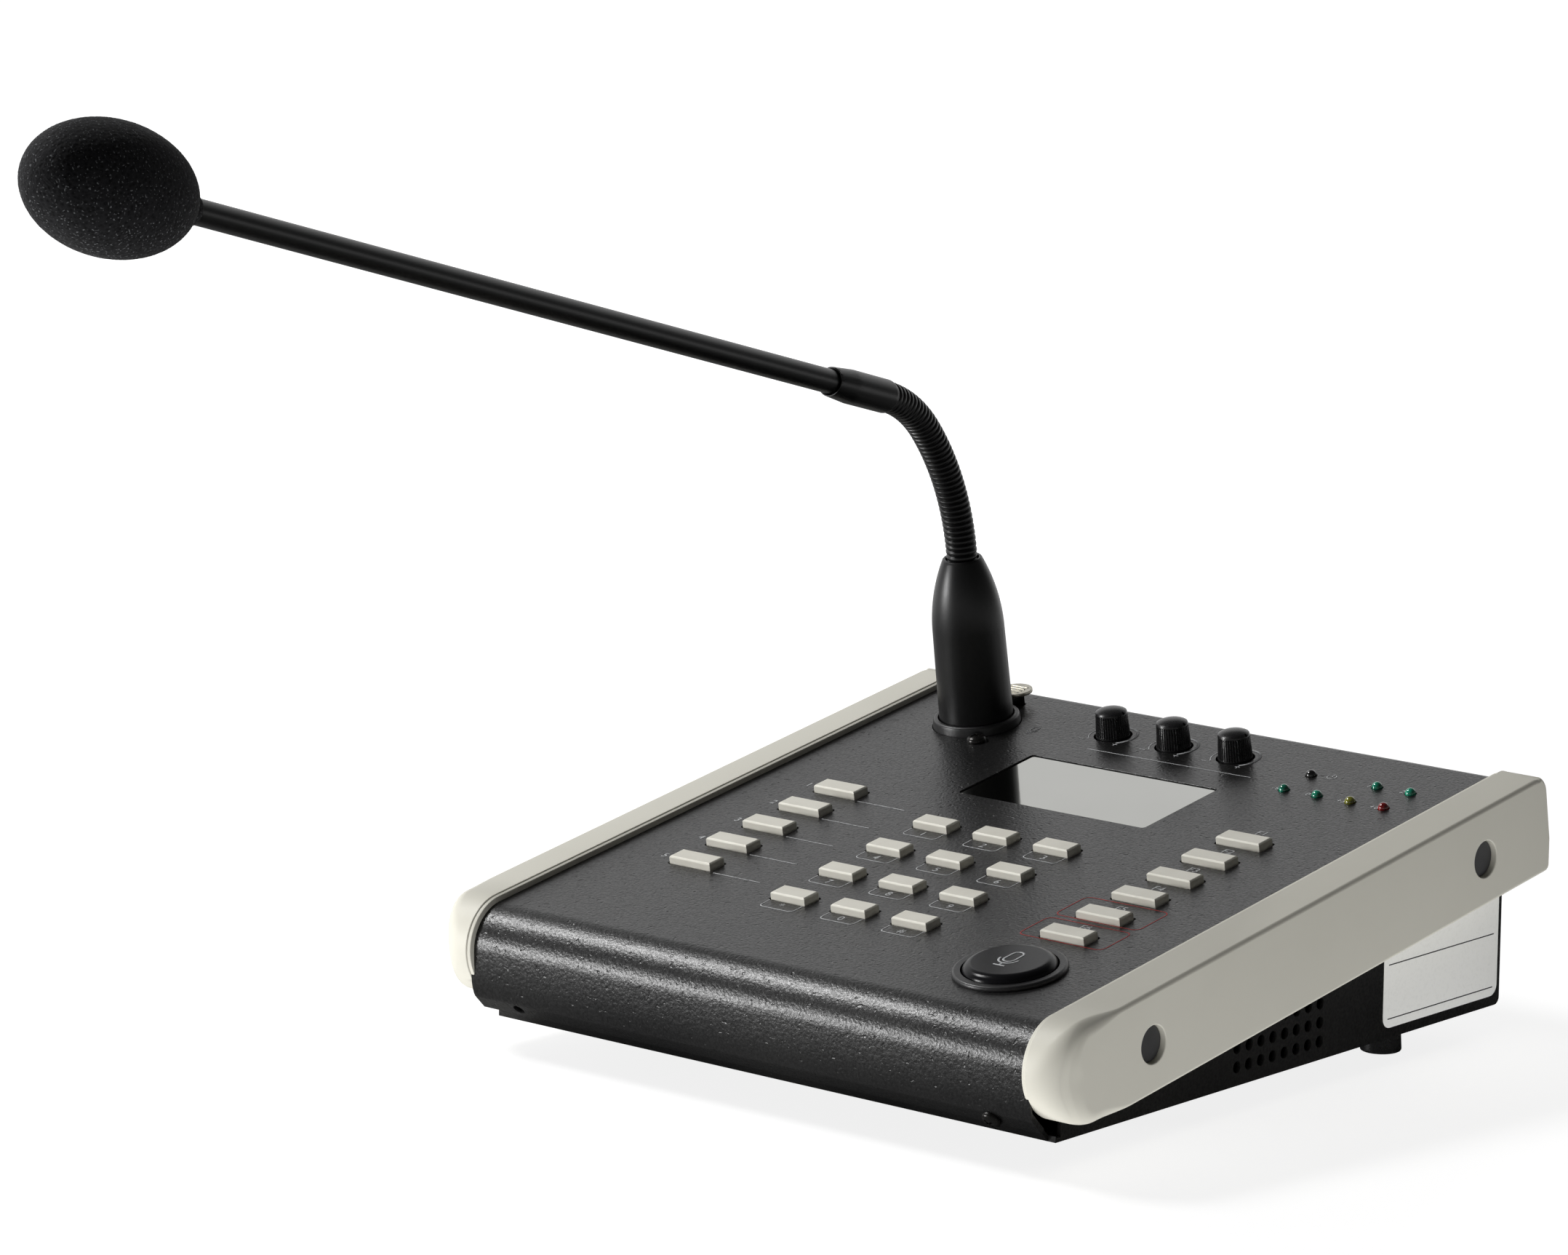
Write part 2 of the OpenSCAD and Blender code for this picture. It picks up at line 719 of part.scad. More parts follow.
// Hollow of the moulding, open towards the case, with screw bosses and ribs left standing
module end_hollow() {
    front = fade_v + end_wall;
    rear = end_v - 2 * end_wall;
    low = end_low + end_wall;
    high = -cover_t;
    difference() {
        translate([end_x - over_cut, front, low])
            cube([end_w - end_wall + over_cut, rear - front, high - low]);
        for (v = well_at)
            translate([0, v, well_l]) cross_pin(end_x - 2 * over_cut, end_x + end_w, boss_d);
        for (i = [1 : 3])
            translate([end_x - 2 * over_cut, well_at[0] + i * (well_at[1] - well_at[0]) / 4, low - over_cut])
                cube([end_w + over_cut, rib_t, high - low + 2 * over_cut]);
    }
}

module end_panel() {
    difference() {
        panel_frame() difference() {
            union() {
                difference() {
                    across(end_x, end_x + end_w) difference() {
                        end_outline();
                        translate([fade_v - end_v, -2 * end_h]) square([end_v, 4 * end_h]);
                    }
                    rim_fall_cut();
                }
                end_nose();
                across(end_x - rim_lip, end_x) lip_outline();
            }
            end_hollow();
        }
        at_wells() {
            cross_pin(end_x + well_floor, end_x + end_w + over_cut, well_d);
            cross_pin(end_x - over_cut, end_x + end_w, end_screw_d + 2 * seat_gap);
        }
    }
}

module right_end_panel() {
    color([0.8, 0.79, 0.74]) end_panel();
}

module left_end_panel() {
    color([0.8, 0.79, 0.74]) mirror([1, 0, 0]) end_panel();
}

module both_sides() {
    children();
    mirror([1, 0, 0]) children();
}

module end_panel_screws() {
    color([0.6, 0.6, 0.6]) both_sides() at_wells() translate([end_x + well_floor, 0, 0])
        rotate([0, 90, 0]) screw(end_screw_d, end_head_d, end_head_h, well_floor + end_screw_in);
}

module end_panel_plugs() {
    color([0.08, 0.08, 0.08]) both_sides() at_wells()
        cross_pin(end_x + end_w - plug_recess - plug_t, end_x + end_w - plug_recess, plug_d);
}

// Board, switches and pillars

module key_board() {
    color([0.1, 0.35, 0.18]) panel_frame() translate([0, 0, board_l - board_t]) difference() {
        linear_extrude(board_t)
            polygon([[board_left, board_front_v], [board_edge, board_front_v],
                     [board_edge, board_rear_v], [board_step_x, board_rear_v],
                     [board_step_x, board_step_v], [board_left, board_step_v]]);
        for (p = pillars) translate([p[0], p[1], -over_cut])
            cylinder(d = screw_d + 2 * seat_gap, h = board_t + 2 * over_cut);
    }
}

module switch_housing(w, h, bore_d, bore) {
    difference() {
        translate([-w / 2, -w / 2, 0]) cube([w, w, h]);
        translate([0, 0, h - bore]) cylinder(d = bore_d, h = bore + over_cut);
    }
}

module key_switches() {
    color([0.12, 0.12, 0.13]) panel_frame() {
        for (k = keys) translate([k[1], k[2], board_l])
            switch_housing(switch_w, switch_h, key_stem_d + 2 * run_gap, switch_bore);
        translate([over(talk_x), along(talk_v), board_l])
            switch_housing(talk_switch_w, talk_switch_h, talk_stem_d + 2 * run_gap,
                           talk_switch_bore);
    }
}

module board_pillars() {
    color([0.7, 0.6, 0.35]) {
        panel_frame() for (p = pillars) translate([p[0], p[1], board_l]) difference() {
            cylinder(d = pillar_d, h = -board_l - cover_t);
            translate([0, 0, -over_cut]) cylinder(d = screw_d + 2 * seat_gap, h = 2 * screw_d);
        }
        case_frame() for (x = [-1, 1] * main_pillar_x, y = main_pillar_y)
            translate([x, y, tray_t]) cylinder(d = pillar_d, h = main_z - tray_t);
    }
}

module board_screws() {
    color([0.7, 0.7, 0.7]) panel_frame() for (p = pillars)
        translate([p[0], p[1], board_l - board_t]) rotate([180, 0, 0])
            screw(screw_d, small_head_d, small_head_h, board_t + screw_d);
}

// Keys

module key_prism(w, bevel, low) {
    polygon([[-w / 2, low], [w / 2, low], [w / 2, key_h - bevel],
             [w / 2 - bevel, key_h], [-w / 2 + bevel, key_h], [-w / 2, key_h - bevel]]);
}

module key(x, v, w) {
    top = -cover_t - run_gap;
    low = top - key_flange_t;
    lap = 2 * (slot_gap + key_flange);
    stem_low = board_l + switch_h - stem_in;
    color([0.88, 0.87, 0.82]) panel_frame() translate([x, v, 0]) {
        intersection() {
            across(-w / 2, w / 2) key_prism(key_d, key_bevel, top);
            translate([0, key_d / 2, 0]) rotate([90, 0, 0])
                linear_extrude(key_d) key_prism(w, key_end_bevel, top);
        }
        translate([-(w + lap) / 2, -(key_d + lap) / 2, low])
            cube([w + lap, key_d + lap, key_flange_t]);
        translate([0, 0, stem_low]) cylinder(d = key_stem_d, h = low - stem_low);
    }
}

// Talk button

module talk_bezel() {
    ri = talk_bore_d / 2;
    ro = bezel_d / 2;
    rh = talk_hole_d / 2 - seat_gap;
    color([0.08, 0.08, 0.08]) panel_frame() translate([over(talk_x), along(talk_v), 0]) rotate_extrude()
        polygon(concat([[ri, talk_skirt_l], [rh, talk_skirt_l], [rh, 0], [ro, 0]],
            [for (a = [0 : 22.5 : 90])
                [ro - bezel_round, bezel_h - bezel_round] + polar(bezel_round, a)],
            [[ri, bezel_h]]));
}

module talk_button() {
    ro = talk_d / 2;
    shoulder = (talk_d - talk_flat) / 2;
    flange_top = talk_skirt_l - run_gap;
    flange_low = flange_top - talk_flange_t;
    flange_r = talk_hole_d / 2 - seat_gap;
    stem_low = board_l + talk_switch_h - run_gap * 2;
    ceiling = talk_h - talk_wall;
    color([0.09, 0.09, 0.1]) panel_frame() translate([over(talk_x), along(talk_v), 0]) rotate_extrude()
        polygon(concat([[0, stem_low], [talk_stem_d / 2, stem_low], [talk_stem_d / 2, ceiling],
                        [ro - talk_wall, ceiling - shoulder], [ro - talk_wall, flange_low],
                        [flange_r, flange_low], [flange_r, flange_top], [ro, flange_top]],
            [for (a = [0 : 15 : 90]) [ro - shoulder, talk_h - shoulder] + polar(shoulder, a)],
            [[0, talk_h]]));
}

// Display, knobs and lamps

module display_window() {
    lap = 2 * window_lap;
    play = 2 * run_gap;
    deep = cover_t + window_t;
    color([0.62, 0.63, 0.6, 0.7]) panel_frame() translate([over(window_x), along(window_v), -deep])
        union() {
            linear_extrude(window_t) square([window_w + lap, window_d + lap], center = true);
            linear_extrude(deep - window_sink)
                polygon(rounded(window_w - play, window_d - play, window_r - run_gap));
        }
}

module display_module() {
    lap = 2 * module_lap;
    top = -cover_t - window_t;
    color([0.3, 0.32, 0.3]) panel_frame() translate([over(window_x), along(window_v), board_l])
        linear_extrude(top - board_l) square([window_w + lap, window_d + lap], center = true);
}

module potentiometers() {
    color([0.2, 0.25, 0.3]) panel_frame() for (k = [-1 : 1])
        translate([knob_at(k), knob_row, board_l])
            switch_housing(pot_w, pot_h, spindle_d + 2 * turn_gap, pot_in + run_gap);
}

module volume_knob(k) {
    rb = knob_d / 2;
    rt = knob_top_d / 2;
    rs = spindle_d / 2;
    spindle_low = board_l + pot_h - pot_in;
    crown_r = (rt * rt + knob_crown * knob_crown) / (2 * knob_crown);
    crown_a = asin(rt / crown_r);
    color([0.07, 0.07, 0.07]) panel_frame()
        translate([knob_at(k), knob_row, 0]) difference() {
            rotate_extrude()
                polygon(concat([[0, spindle_low], [rs, spindle_low], [rs, -knob_sink],
                                [rb, -knob_sink]],
                    [for (i = [0 : 5])
                        [0, knob_h + knob_crown - crown_r]
                        + polar(crown_r, 90 - crown_a * (1 - i / 5))]));
            for (s = [-1, 1]) translate([s * rt - knob_notch, -knob_notch / 2, knob_h - knob_notch])
                cube([2 * knob_notch, knob_notch, 2 * knob_notch]);
        }
}

module lamp(at) {
    r = led_d / 2;
    panel_frame() for (l = at) translate([led_at(l[0]), along(l[1]), 0]) {
        translate([0, 0, led_h - r]) sphere(r);
        translate([0, 0, -led_body]) cylinder(r = r, h = led_body + led_h - r);
        translate([0, 0, -led_body - led_flange_t]) cylinder(r = r + led_flange, h = led_flange_t);
        for (x = [-1, 1] * led_lead_x) translate([x, 0, board_l])
            cylinder(d = led_lead_d, h = -board_l - led_body - led_flange_t);
    }
}

module led_green() {
    color([0.3, 0.75, 0.4]) lamp(led_green_at);
}

module led_yellow() {
    color([0.65, 0.62, 0.25]) lamp(led_yellow_at);
}

module led_red() {
    color([0.8, 0.15, 0.12]) lamp(led_red_at);
}

module led_power() {
    color([0.12, 0.12, 0.12]) lamp(led_power_at);
}

// Microphone

module socket_frame() {
    panel_frame() translate([over(mic_x), along(mic_v), 0]) children();
}

// Panel socket fixed from behind: its ring stands through the cover
module mic_socket() {
    bore_low = plug_nose_l - run_gap;
    color([0.08, 0.08, 0.08]) socket_frame() difference() {
        union() {
            rotate_extrude()
                polygon([[0, socket_body_l], [socket_body_d / 2, socket_body_l],
                         [socket_body_d / 2, -cover_t], [ring_d / 2, -cover_t],
                         [ring_d / 2, 0], [ring_d / 2 - 0.3, ring_h - 0.4],
                         [ring_d / 2 - 0.7, ring_h], [0, ring_h]]);
            translate([0, 0, -cover_t - socket_plate[2]]) linear_extrude(socket_plate[2])
                square([socket_plate[0], socket_plate[1]], center = true);
        }
        translate([0, 0, plug_step_l - run_gap])
            cylinder(d = socket_bore_d, h = ring_h - plug_step_l + over_cut);
        translate([0, 0, bore_low])
            cylinder(d = plug_nose_d + 2 * run_gap, h = ring_h - bore_low);
        for (s = socket_screw_at) translate([s[0], s[1], -2 * cover_t - socket_plate[2]])
            cylinder(d = screw_d + 2 * seat_gap, h = socket_plate[2] + 2 * cover_t);
    }
}

module socket_screws() {
    color([0.15, 0.15, 0.15]) socket_frame() for (s = socket_screw_at)
        translate([s[0], s[1], 0])
            screw(screw_d, small_head_d, small_head_h, cover_t + socket_plate[2] + screw_d);
}

// Push tab that frees the plug
module socket_latch() {
    low = latch_foot_l - latch_foot[2];
    color([0.75, 0.74, 0.7]) socket_frame() translate([0, latch_back, 0]) {
        translate([0, 0, latch_h - latch_t]) cylinder(d = latch_d, h = latch_t);
        translate([-latch_stem[0] / 2, -latch_stem[1] / 2, low])
            cube([latch_stem[0], latch_stem[1], latch_h - latch_t - low]);
        translate([-latch_foot[0] / 2, -latch_foot[1] / 2, low]) cube(latch_foot);
    }
}

module mic_barrel() {
    rt = barrel_top_d / 2;
    rm = barrel_mid_d / 2;
    color([0.07, 0.07, 0.08]) socket_frame() difference() {
        union() {
            rotate_extrude()
                polygon([[0, plug_nose_l], [plug_nose_d / 2, plug_nose_l],
                         [plug_nose_d / 2, plug_step_l], [barrel_d / 2, plug_step_l],
                         [barrel_d / 2, 0], [rm, barrel_mid_h], [0, barrel_mid_h]]);
            rotate_extrude() intersection() {
                translate([rm - ogive_r, barrel_mid_h]) circle(ogive_r, $fn = 180);
                translate([0, barrel_mid_h]) square([rm, ogive_drop]);
            }
        }
        translate([0, 0, barrel_h - flex_in - run_gap])
            cylinder(d = flex_bore_d, h = flex_in + run_gap + over_cut);
    }
}

// Neck's centre line as [v, lift, heading], from inside the barrel into the collar
function flex_at(s) =
    s <= flex_end ? [along(mic_v), flex_start_l + s, 90]
    : s <= flex_end + flex_len1 ? flex_arc([along(mic_v), flex_start_l + flex_end], 90, flex_r1,
                                           s - flex_end)
    : let (p = flex_arc([along(mic_v), flex_start_l + flex_end], 90, flex_r1, flex_len1))
      s <= flex_end + flex_len1 + flex_len2
        ? flex_arc([p[0], p[1]], p[2], flex_r2, s - flex_end - flex_len1)
        : let (q = flex_arc([p[0], p[1]], p[2], flex_r2, flex_len2))
          concat([q[0], q[1]] + polar(s - flex_len + flex_end, q[2]), [q[2]]);

function flex_arc(p, h, r, s) =
    let (a = h + s / r * 180 / PI)
    concat(p + r * [sin(a) - sin(h), cos(h) - cos(a)], [a]);

function flex_ring(s, r) =
    let (c = flex_at(s))
    [for (i = [0 : flex_sides - 1])
        let (a = 360 * i / flex_sides)
        [over(mic_x) + r * cos(a), c[0] - r * sin(a) * sin(c[2]), c[1] + r * sin(a) * cos(c[2])]];

// Triangles between neighbouring rings, turned over where flip is set
function skin(first, rings, flip) = [for (k = [0 : rings - 2], i = [0 : flex_sides - 1])
    let (n = flex_sides, j = (i + 1) % n, a = first + k * n, b = a + n)
    each flip ? [[a + i, b + i, a + j], [a + j, b + i, b + j]]
              : [[a + i, a + j, b + i], [a + j, b + j, b + i]]];

function cap(outer, inner, flip) = [for (i = [0 : flex_sides - 1])
    let (j = (i + 1) % flex_sides)
    each flip ? [[outer + i, outer + j, inner + i], [outer + j, inner + j, inner + i]]
              : [[outer + i, inner + i, outer + j], [outer + j, inner + i, inner + j]]];

// Crest radius of a rib: the ribs inside the collar are cut back to a stub
function crest(k) = ((k + 1) * rib_step > flex_len - flex_end ? stub_d : flex_d) / 2;

// Ribbed tube: each rib rises from a groove to a flat crest, and a bore runs through
module gooseneck_flex() {
    stops = concat([for (k = [0 : rib_count - 1], e = [[0, rib_depth], [0.3, 0], [0.8, 0]])
                       [(k + e[0]) * rib_step, crest(k) - e[1]]],
                   [[flex_len, crest(rib_count) - rib_depth]]);
    bores = [for (k = [0 : rib_count]) k * rib_step];
    outer = [for (s = stops) each flex_ring(s[0], s[1])];
    inner = [for (s = bores) each flex_ring(s, flex_hole_d / 2)];
    no = len(stops);
    ni = len(bores);
    n = flex_sides;
    color([0.06, 0.06, 0.06]) panel_frame()
        polyhedron(concat(outer, inner),
            concat(skin(0, no, true), skin(no * n, ni, false),
                   cap(0, no * n, true), cap((no - 1) * n, (no + ni - 1) * n, false)));
}

module gooseneck_collar() {
    neck = flex_end + seat_gap;
    stub_r = stub_d / 2 + run_gap;
    color([0.07, 0.07, 0.07]) arm_frame() rotate_extrude()
        polygon([[stub_r, 0], [collar_end_d / 2 - 0.1, 0], [collar_end_d / 2, 0.6],
                 [collar_d / 2, collar_len - collar_taper], [collar_mouth_d / 2, collar_len],
                 [rod_d / 2 + run_gap, collar_len], [rod_d / 2 + run_gap, collar_len - 2],
                 [rod_d / 2 + seat_gap, collar_len - 2], [rod_d / 2 + seat_gap, neck],
                 [stub_r, neck]]);
}

module gooseneck_rod() {
    end = capsule_at + capsule_hold - seat_gap;
    color([0.06, 0.06, 0.06]) arm_frame() rotate_extrude()
        polygon([[rod_bore_d / 2, rod_in], [rod_d / 2, rod_in],
                 [rod_d / 2, end], [rod_bore_d / 2, end]]);
}

module mic_capsule() {
    r = capsule_d / 2;
    color([0.5, 0.5, 0.5]) arm_frame() rotate_extrude()
        polygon([[0, capsule_at + capsule_hold], [rod_d / 2 + seat_gap, capsule_at + capsule_hold],
                 [rod_d / 2 + seat_gap, capsule_at], [r, capsule_at],
                 [r, capsule_at + capsule_len - 1], [r - 1, capsule_at + capsule_len],
                 [0, capsule_at + capsule_len]]);
}

// Foam egg over the capsule, with a short neck on the rod
module windscreen() {
    rr = rod_d / 2 + run_gap;
    rc = capsule_d / 2 + run_gap;
    rn = screen_neck_d / 2;
    start = asin(screen_neck_d / screen_d);
    steps = 24;
    color([0.05, 0.05, 0.05]) arm_frame() rotate_extrude()
        polygon(concat([[rr, rod_reach - screen_neck], [rn - 1, rod_reach - screen_neck],
                        [rn - 0.4, rod_reach - screen_neck / 2]],
            [for (i = [0 : steps])
                let (t = start + (180 - start) * i / steps)
                [i == steps ? 0 : screen_d / 2 * sin(t), rod_reach + screen_len / 2 * (1 - cos(t))]],
            [[0, capsule_at + capsule_len + run_gap], [rc, capsule_at + capsule_len + run_gap],
             [rc, capsule_at - run_gap], [rr, capsule_at - run_gap]]));
}

// Rear sockets

// Low front corner of a rear socket's body, widened by gap
module at_rear(x, size, gap) {
    case_frame() translate([x - size[0] / 2 - gap, tray_d + rear_proud - size[1], main_z + board_t])
        children();
}

function rear_hole(size) =
    [size[0] + 2 * run_gap, size[1] + 2 * over_cut, size[2] + run_gap];

module main_board() {
    color([0.1, 0.35, 0.18]) case_frame() translate([-main_w / 2, main_y, main_z])
        cube([main_w, tray_d - tray_t - run_gap - main_y, board_t]);
}

module line_socket() {
    wall = (socket_size[0] - socket_mouth[0]) / 2;
    sill = (socket_size[2] - socket_mouth[2]) / 2;
    color([0.12, 0.12, 0.12]) at_rear(socket_x, socket_size, 0) difference() {
        cube(socket_size);
        translate([wall, socket_size[1] - socket_mouth[1], sill])
            cube(socket_mouth + [0, over_cut, 0]);
    }
}

module power_inlet() {
    color([0.1, 0.1, 0.1]) at_rear(inlet_x, inlet_size, 0) {
        difference() {
            cube(inlet_size);
            translate([inlet_size[0] / 2, inlet_size[1] + over_cut, inlet_size[2] / 2])
                rotate([90, 0, 0]) cylinder(d = inlet_bore_d, h = inlet_bore_len + over_cut);
        }
        translate([inlet_size[0] / 2, inlet_size[1] - 1, inlet_size[2] / 2])
            rotate([90, 0, 0]) cylinder(d = inlet_pin_d, h = inlet_bore_len);
    }
}

top_cover();
bottom_tray();
left_end_panel();
right_end_panel();
feet();
cover_screws();
end_panel_screws();
end_panel_plugs();
key_board();
key_switches();
board_pillars();
board_screws();
display_window();
display_module();
led_green();
led_yellow();
led_red();
led_power();
potentiometers();
volume_knob(-1);  // volume_knob_1
volume_knob(0);  // volume_knob_2
volume_knob(1);  // volume_knob_3
talk_bezel();
talk_button();
mic_socket();
socket_latch();
socket_screws();
mic_barrel();
gooseneck_flex();
gooseneck_collar();
gooseneck_rod();
mic_capsule();
windscreen();
main_board();
line_socket();
power_inlet();
for (k = keys)
    key(k[1], k[2], k[3]);
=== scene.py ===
import bpy
import json
import math
from mathutils import Matrix, Vector

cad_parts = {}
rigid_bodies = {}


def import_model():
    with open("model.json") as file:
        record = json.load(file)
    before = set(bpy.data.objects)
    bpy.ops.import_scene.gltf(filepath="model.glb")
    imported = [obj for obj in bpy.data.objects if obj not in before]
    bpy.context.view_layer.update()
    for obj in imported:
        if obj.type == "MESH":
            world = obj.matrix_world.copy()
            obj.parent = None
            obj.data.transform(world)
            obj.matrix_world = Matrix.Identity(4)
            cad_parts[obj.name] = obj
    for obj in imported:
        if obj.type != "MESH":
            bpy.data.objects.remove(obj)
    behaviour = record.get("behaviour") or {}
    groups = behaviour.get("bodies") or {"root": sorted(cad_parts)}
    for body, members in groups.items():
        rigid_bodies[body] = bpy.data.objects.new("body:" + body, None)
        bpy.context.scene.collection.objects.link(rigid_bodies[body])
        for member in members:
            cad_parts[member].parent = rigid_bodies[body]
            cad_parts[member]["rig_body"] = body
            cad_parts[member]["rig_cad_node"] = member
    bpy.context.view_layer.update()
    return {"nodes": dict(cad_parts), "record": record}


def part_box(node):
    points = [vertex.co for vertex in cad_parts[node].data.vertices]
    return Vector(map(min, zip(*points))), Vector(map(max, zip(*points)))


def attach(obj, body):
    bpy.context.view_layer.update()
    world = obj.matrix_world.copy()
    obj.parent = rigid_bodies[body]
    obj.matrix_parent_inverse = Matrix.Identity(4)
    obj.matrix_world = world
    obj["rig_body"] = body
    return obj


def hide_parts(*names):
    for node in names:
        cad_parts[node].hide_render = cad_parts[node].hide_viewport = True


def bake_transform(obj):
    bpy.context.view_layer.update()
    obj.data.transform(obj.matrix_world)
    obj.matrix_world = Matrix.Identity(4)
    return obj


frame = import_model()
mm = 0.001
print("frame loaded:", len(frame["nodes"]), "nodes")

# origins of the case and of the panel's own frame, in mm: x across, y up the slope, z off the panel
layout = {"case": (0, -95, 8), "panel": (0, -95, 39.2), "slope": 9.2}
socketX, socketV = -63.3, 162.9


def shift(*at):
    return Matrix.Translation([c * mm for c in at])


caseFrame = shift(*layout["case"])
panelFrame = shift(*layout["panel"]) @ Matrix.Rotation(math.radians(layout["slope"]), 4, "X")


def onPanel(x, v, lift=0.0):
    return panelFrame @ shift(x, v, lift)


def spin(degrees):
    return math.cos(math.radians(degrees)), math.sin(math.radians(degrees))


# shader nodes

def feed(tree, node, parts):  # outputs are linked to inputs, values are set on them
    for socket, part in parts.items():
        if isinstance(part, bpy.types.NodeSocket):
            tree.links.new(part, node.inputs[socket])
        else:
            node.inputs[socket].default_value = part


def nodeOf(tree, kind, parts, out=0, **choices):
    node = tree.nodes.new("ShaderNode" + kind)
    for choice, value in choices.items():
        setattr(node, choice, value)
    feed(tree, node, parts)
    return node.outputs[out]


def startFinish(name, rough, metal=0.0, specular=0.5, extra=None):
    finish = bpy.data.materials.new(name)
    finish.use_nodes = True
    tree = finish.node_tree
    shader = tree.nodes["Principled BSDF"]
    feed(tree, shader, {"Base Color": (0.5, 0.5, 0.5, 1), "Roughness": rough, "Metallic": metal,
                        "Specular IOR Level": specular, **(extra or {})})
    place = nodeOf(tree, "TexCoord", {}, "Object")
    return finish, tree, shader, place


def noiseOf(tree, place, scale, detail=2.0, stretch=None):
    if stretch:
        place = nodeOf(tree, "Mapping", {"Scale": stretch, "Vector": place}, "Vector")
    parts = {"Scale": scale, "Detail": detail, "Roughness": 0.5, "Vector": place}
    return nodeOf(tree, "TexNoise", parts, "Fac")


def cellsOf(tree, place, scale, feature="F1"):
    return nodeOf(tree, "TexVoronoi", {"Scale": scale, "Vector": place}, "Distance", feature=feature)


def spreadOf(tree, value, fromLow, fromHigh, low, high, kind="LINEAR"):
    parts = {"Value": value, "From Min": fromLow, "From Max": fromHigh, "To Min": low, "To Max": high}
    return nodeOf(tree, "MapRange", parts, "Result", interpolation_type=kind)


def easeOf(tree, value, *ends):
    return spreadOf(tree, value, *ends, kind="SMOOTHSTEP")


def mathOf(tree, kind, *parts, clamp=False):
    return nodeOf(tree, "Math", dict(enumerate(parts)), operation=kind, use_clamp=clamp)


def axisOf(tree, place, direction):  # how far a point lies along a direction
    return nodeOf(tree, "VectorMath", {0: place, 1: direction}, "Value", operation="DOT_PRODUCT")


def mixOf(tree, share, under, over):
    return nodeOf(tree, "MixRGB", {"Fac": share, "Color1": under, "Color2": over}, "Color")


def tintOf(tree, value, *stops):
    node = tree.nodes.new("ShaderNodeValToRGB")
    for element, (at, colour) in zip(node.color_ramp.elements, stops):
        element.position = at
        element.color = (*colour, 1)
    feed(tree, node, {"Fac": value})
    return node.outputs["Color"]


def bumpOf(tree, height, strength, deep, **under):
    parts = {"Strength": strength, "Distance": deep, "Height": height, **under}
    return nodeOf(tree, "Bump", parts, "Normal")


# camera, light and floor

viewer = {"place": (1.14566, -1.44035, 0.47675), "turn": (78.706, -0.595, 40.445), "lens": 165.855,
          "sensor": 36.0, "clip": 30}


def setCamera():
    bpy.ops.object.camera_add(location=viewer["place"], rotation=[math.radians(a) for a in viewer["turn"]])
    eye = bpy.context.object
    eye.data.lens = viewer["lens"]
    eye.data.sensor_width = viewer["sensor"]
    eye.data.clip_end = viewer["clip"]
    bpy.context.scene.camera = eye


studio = {
    "aim": (0.0, 0.0, 0.07),
    "boxes": [
        {"name": "keySoftbox", "toward": (-0.63, -0.26, 0.73), "far": 1.7, "size": (0.45, 0.4), "watts": 19.5},
        {"name": "lowSoftbox", "toward": (-0.655, -0.752, 0.03), "far": 1.9, "size": (0.5, 0.3), "watts": 22},
    ],
    "glowToward": (-0.70, 0.66, 0.28),
    "glowLean": (0.35, 0.9),
    "glow": 1.38,
    "glowTop": (0.46, 0.66),
    "ambient": 0.06,
    "floor": (0.3, 0.3, 0.299, 1),
    "floorWide": 8, "floorRough": 0.9, "floorSpecular": 0.1,
    "floorNear": 0.84, "floorFar": 1.0,
    "fadeReach": (0.22, 0.75), "shineReach": (0.35, 0.9),
    "bounceReach": (0.45, 0.9), "bounce": 1.32,
}
white = (1, 1, 1, 1)


def setLights():
    aim = Vector(studio["aim"])
    for box in studio["boxes"]:
        toward = Vector(box["toward"]).normalized()
        bpy.ops.object.light_add(type="AREA", location=aim + toward * box["far"],
                                 rotation=toward.to_track_quat("Z", "Y").to_euler())
        lamp = bpy.context.object
        lamp.name = box["name"]
        lamp.data.shape = "RECTANGLE"
        lamp.data.size, lamp.data.size_y = box["size"]
        lamp.data.energy = box["watts"]


def setWorld():
    world = bpy.data.worlds.new("whiteStudio")
    bpy.context.scene.world = world
    world.use_nodes = True
    tree = world.node_tree
    tree.nodes.clear()
    path = tree.nodes.new("ShaderNodeLightPath").outputs
    where = nodeOf(tree, "TexCoord", {}, "Generated")
    dim = studio["ambient"]
    lean = axisOf(tree, where, Vector(studio["glowToward"]).normalized())
    glow = easeOf(tree, lean, *studio["glowLean"], dim, studio["glow"])
    # the backdrop ends above; gloss and glass show its white too, as far as it reaches
    top = easeOf(tree, axisOf(tree, where, (0, 0, 1)), *studio["glowTop"], 1.0, dim)
    level = mathOf(tree, "MULTIPLY", glow, top)
    shine = mathOf(tree, "ADD", path["Is Glossy Ray"], path["Is Transmission Ray"])
    reach = mathOf(tree, "MULTIPLY", shine, level, clamp=True)
    share = mathOf(tree, "ADD", path["Is Camera Ray"], reach, clamp=True)
    lit = nodeOf(tree, "Background", {"Strength": mathOf(tree, "MAXIMUM", level, dim)})
    seen = nodeOf(tree, "Background", {"Color": white})
    mixed = nodeOf(tree, "MixShader", {"Fac": share, 1: lit, 2: seen})
    feed(tree, tree.nodes.new("ShaderNodeOutputWorld"), {"Surface": mixed})


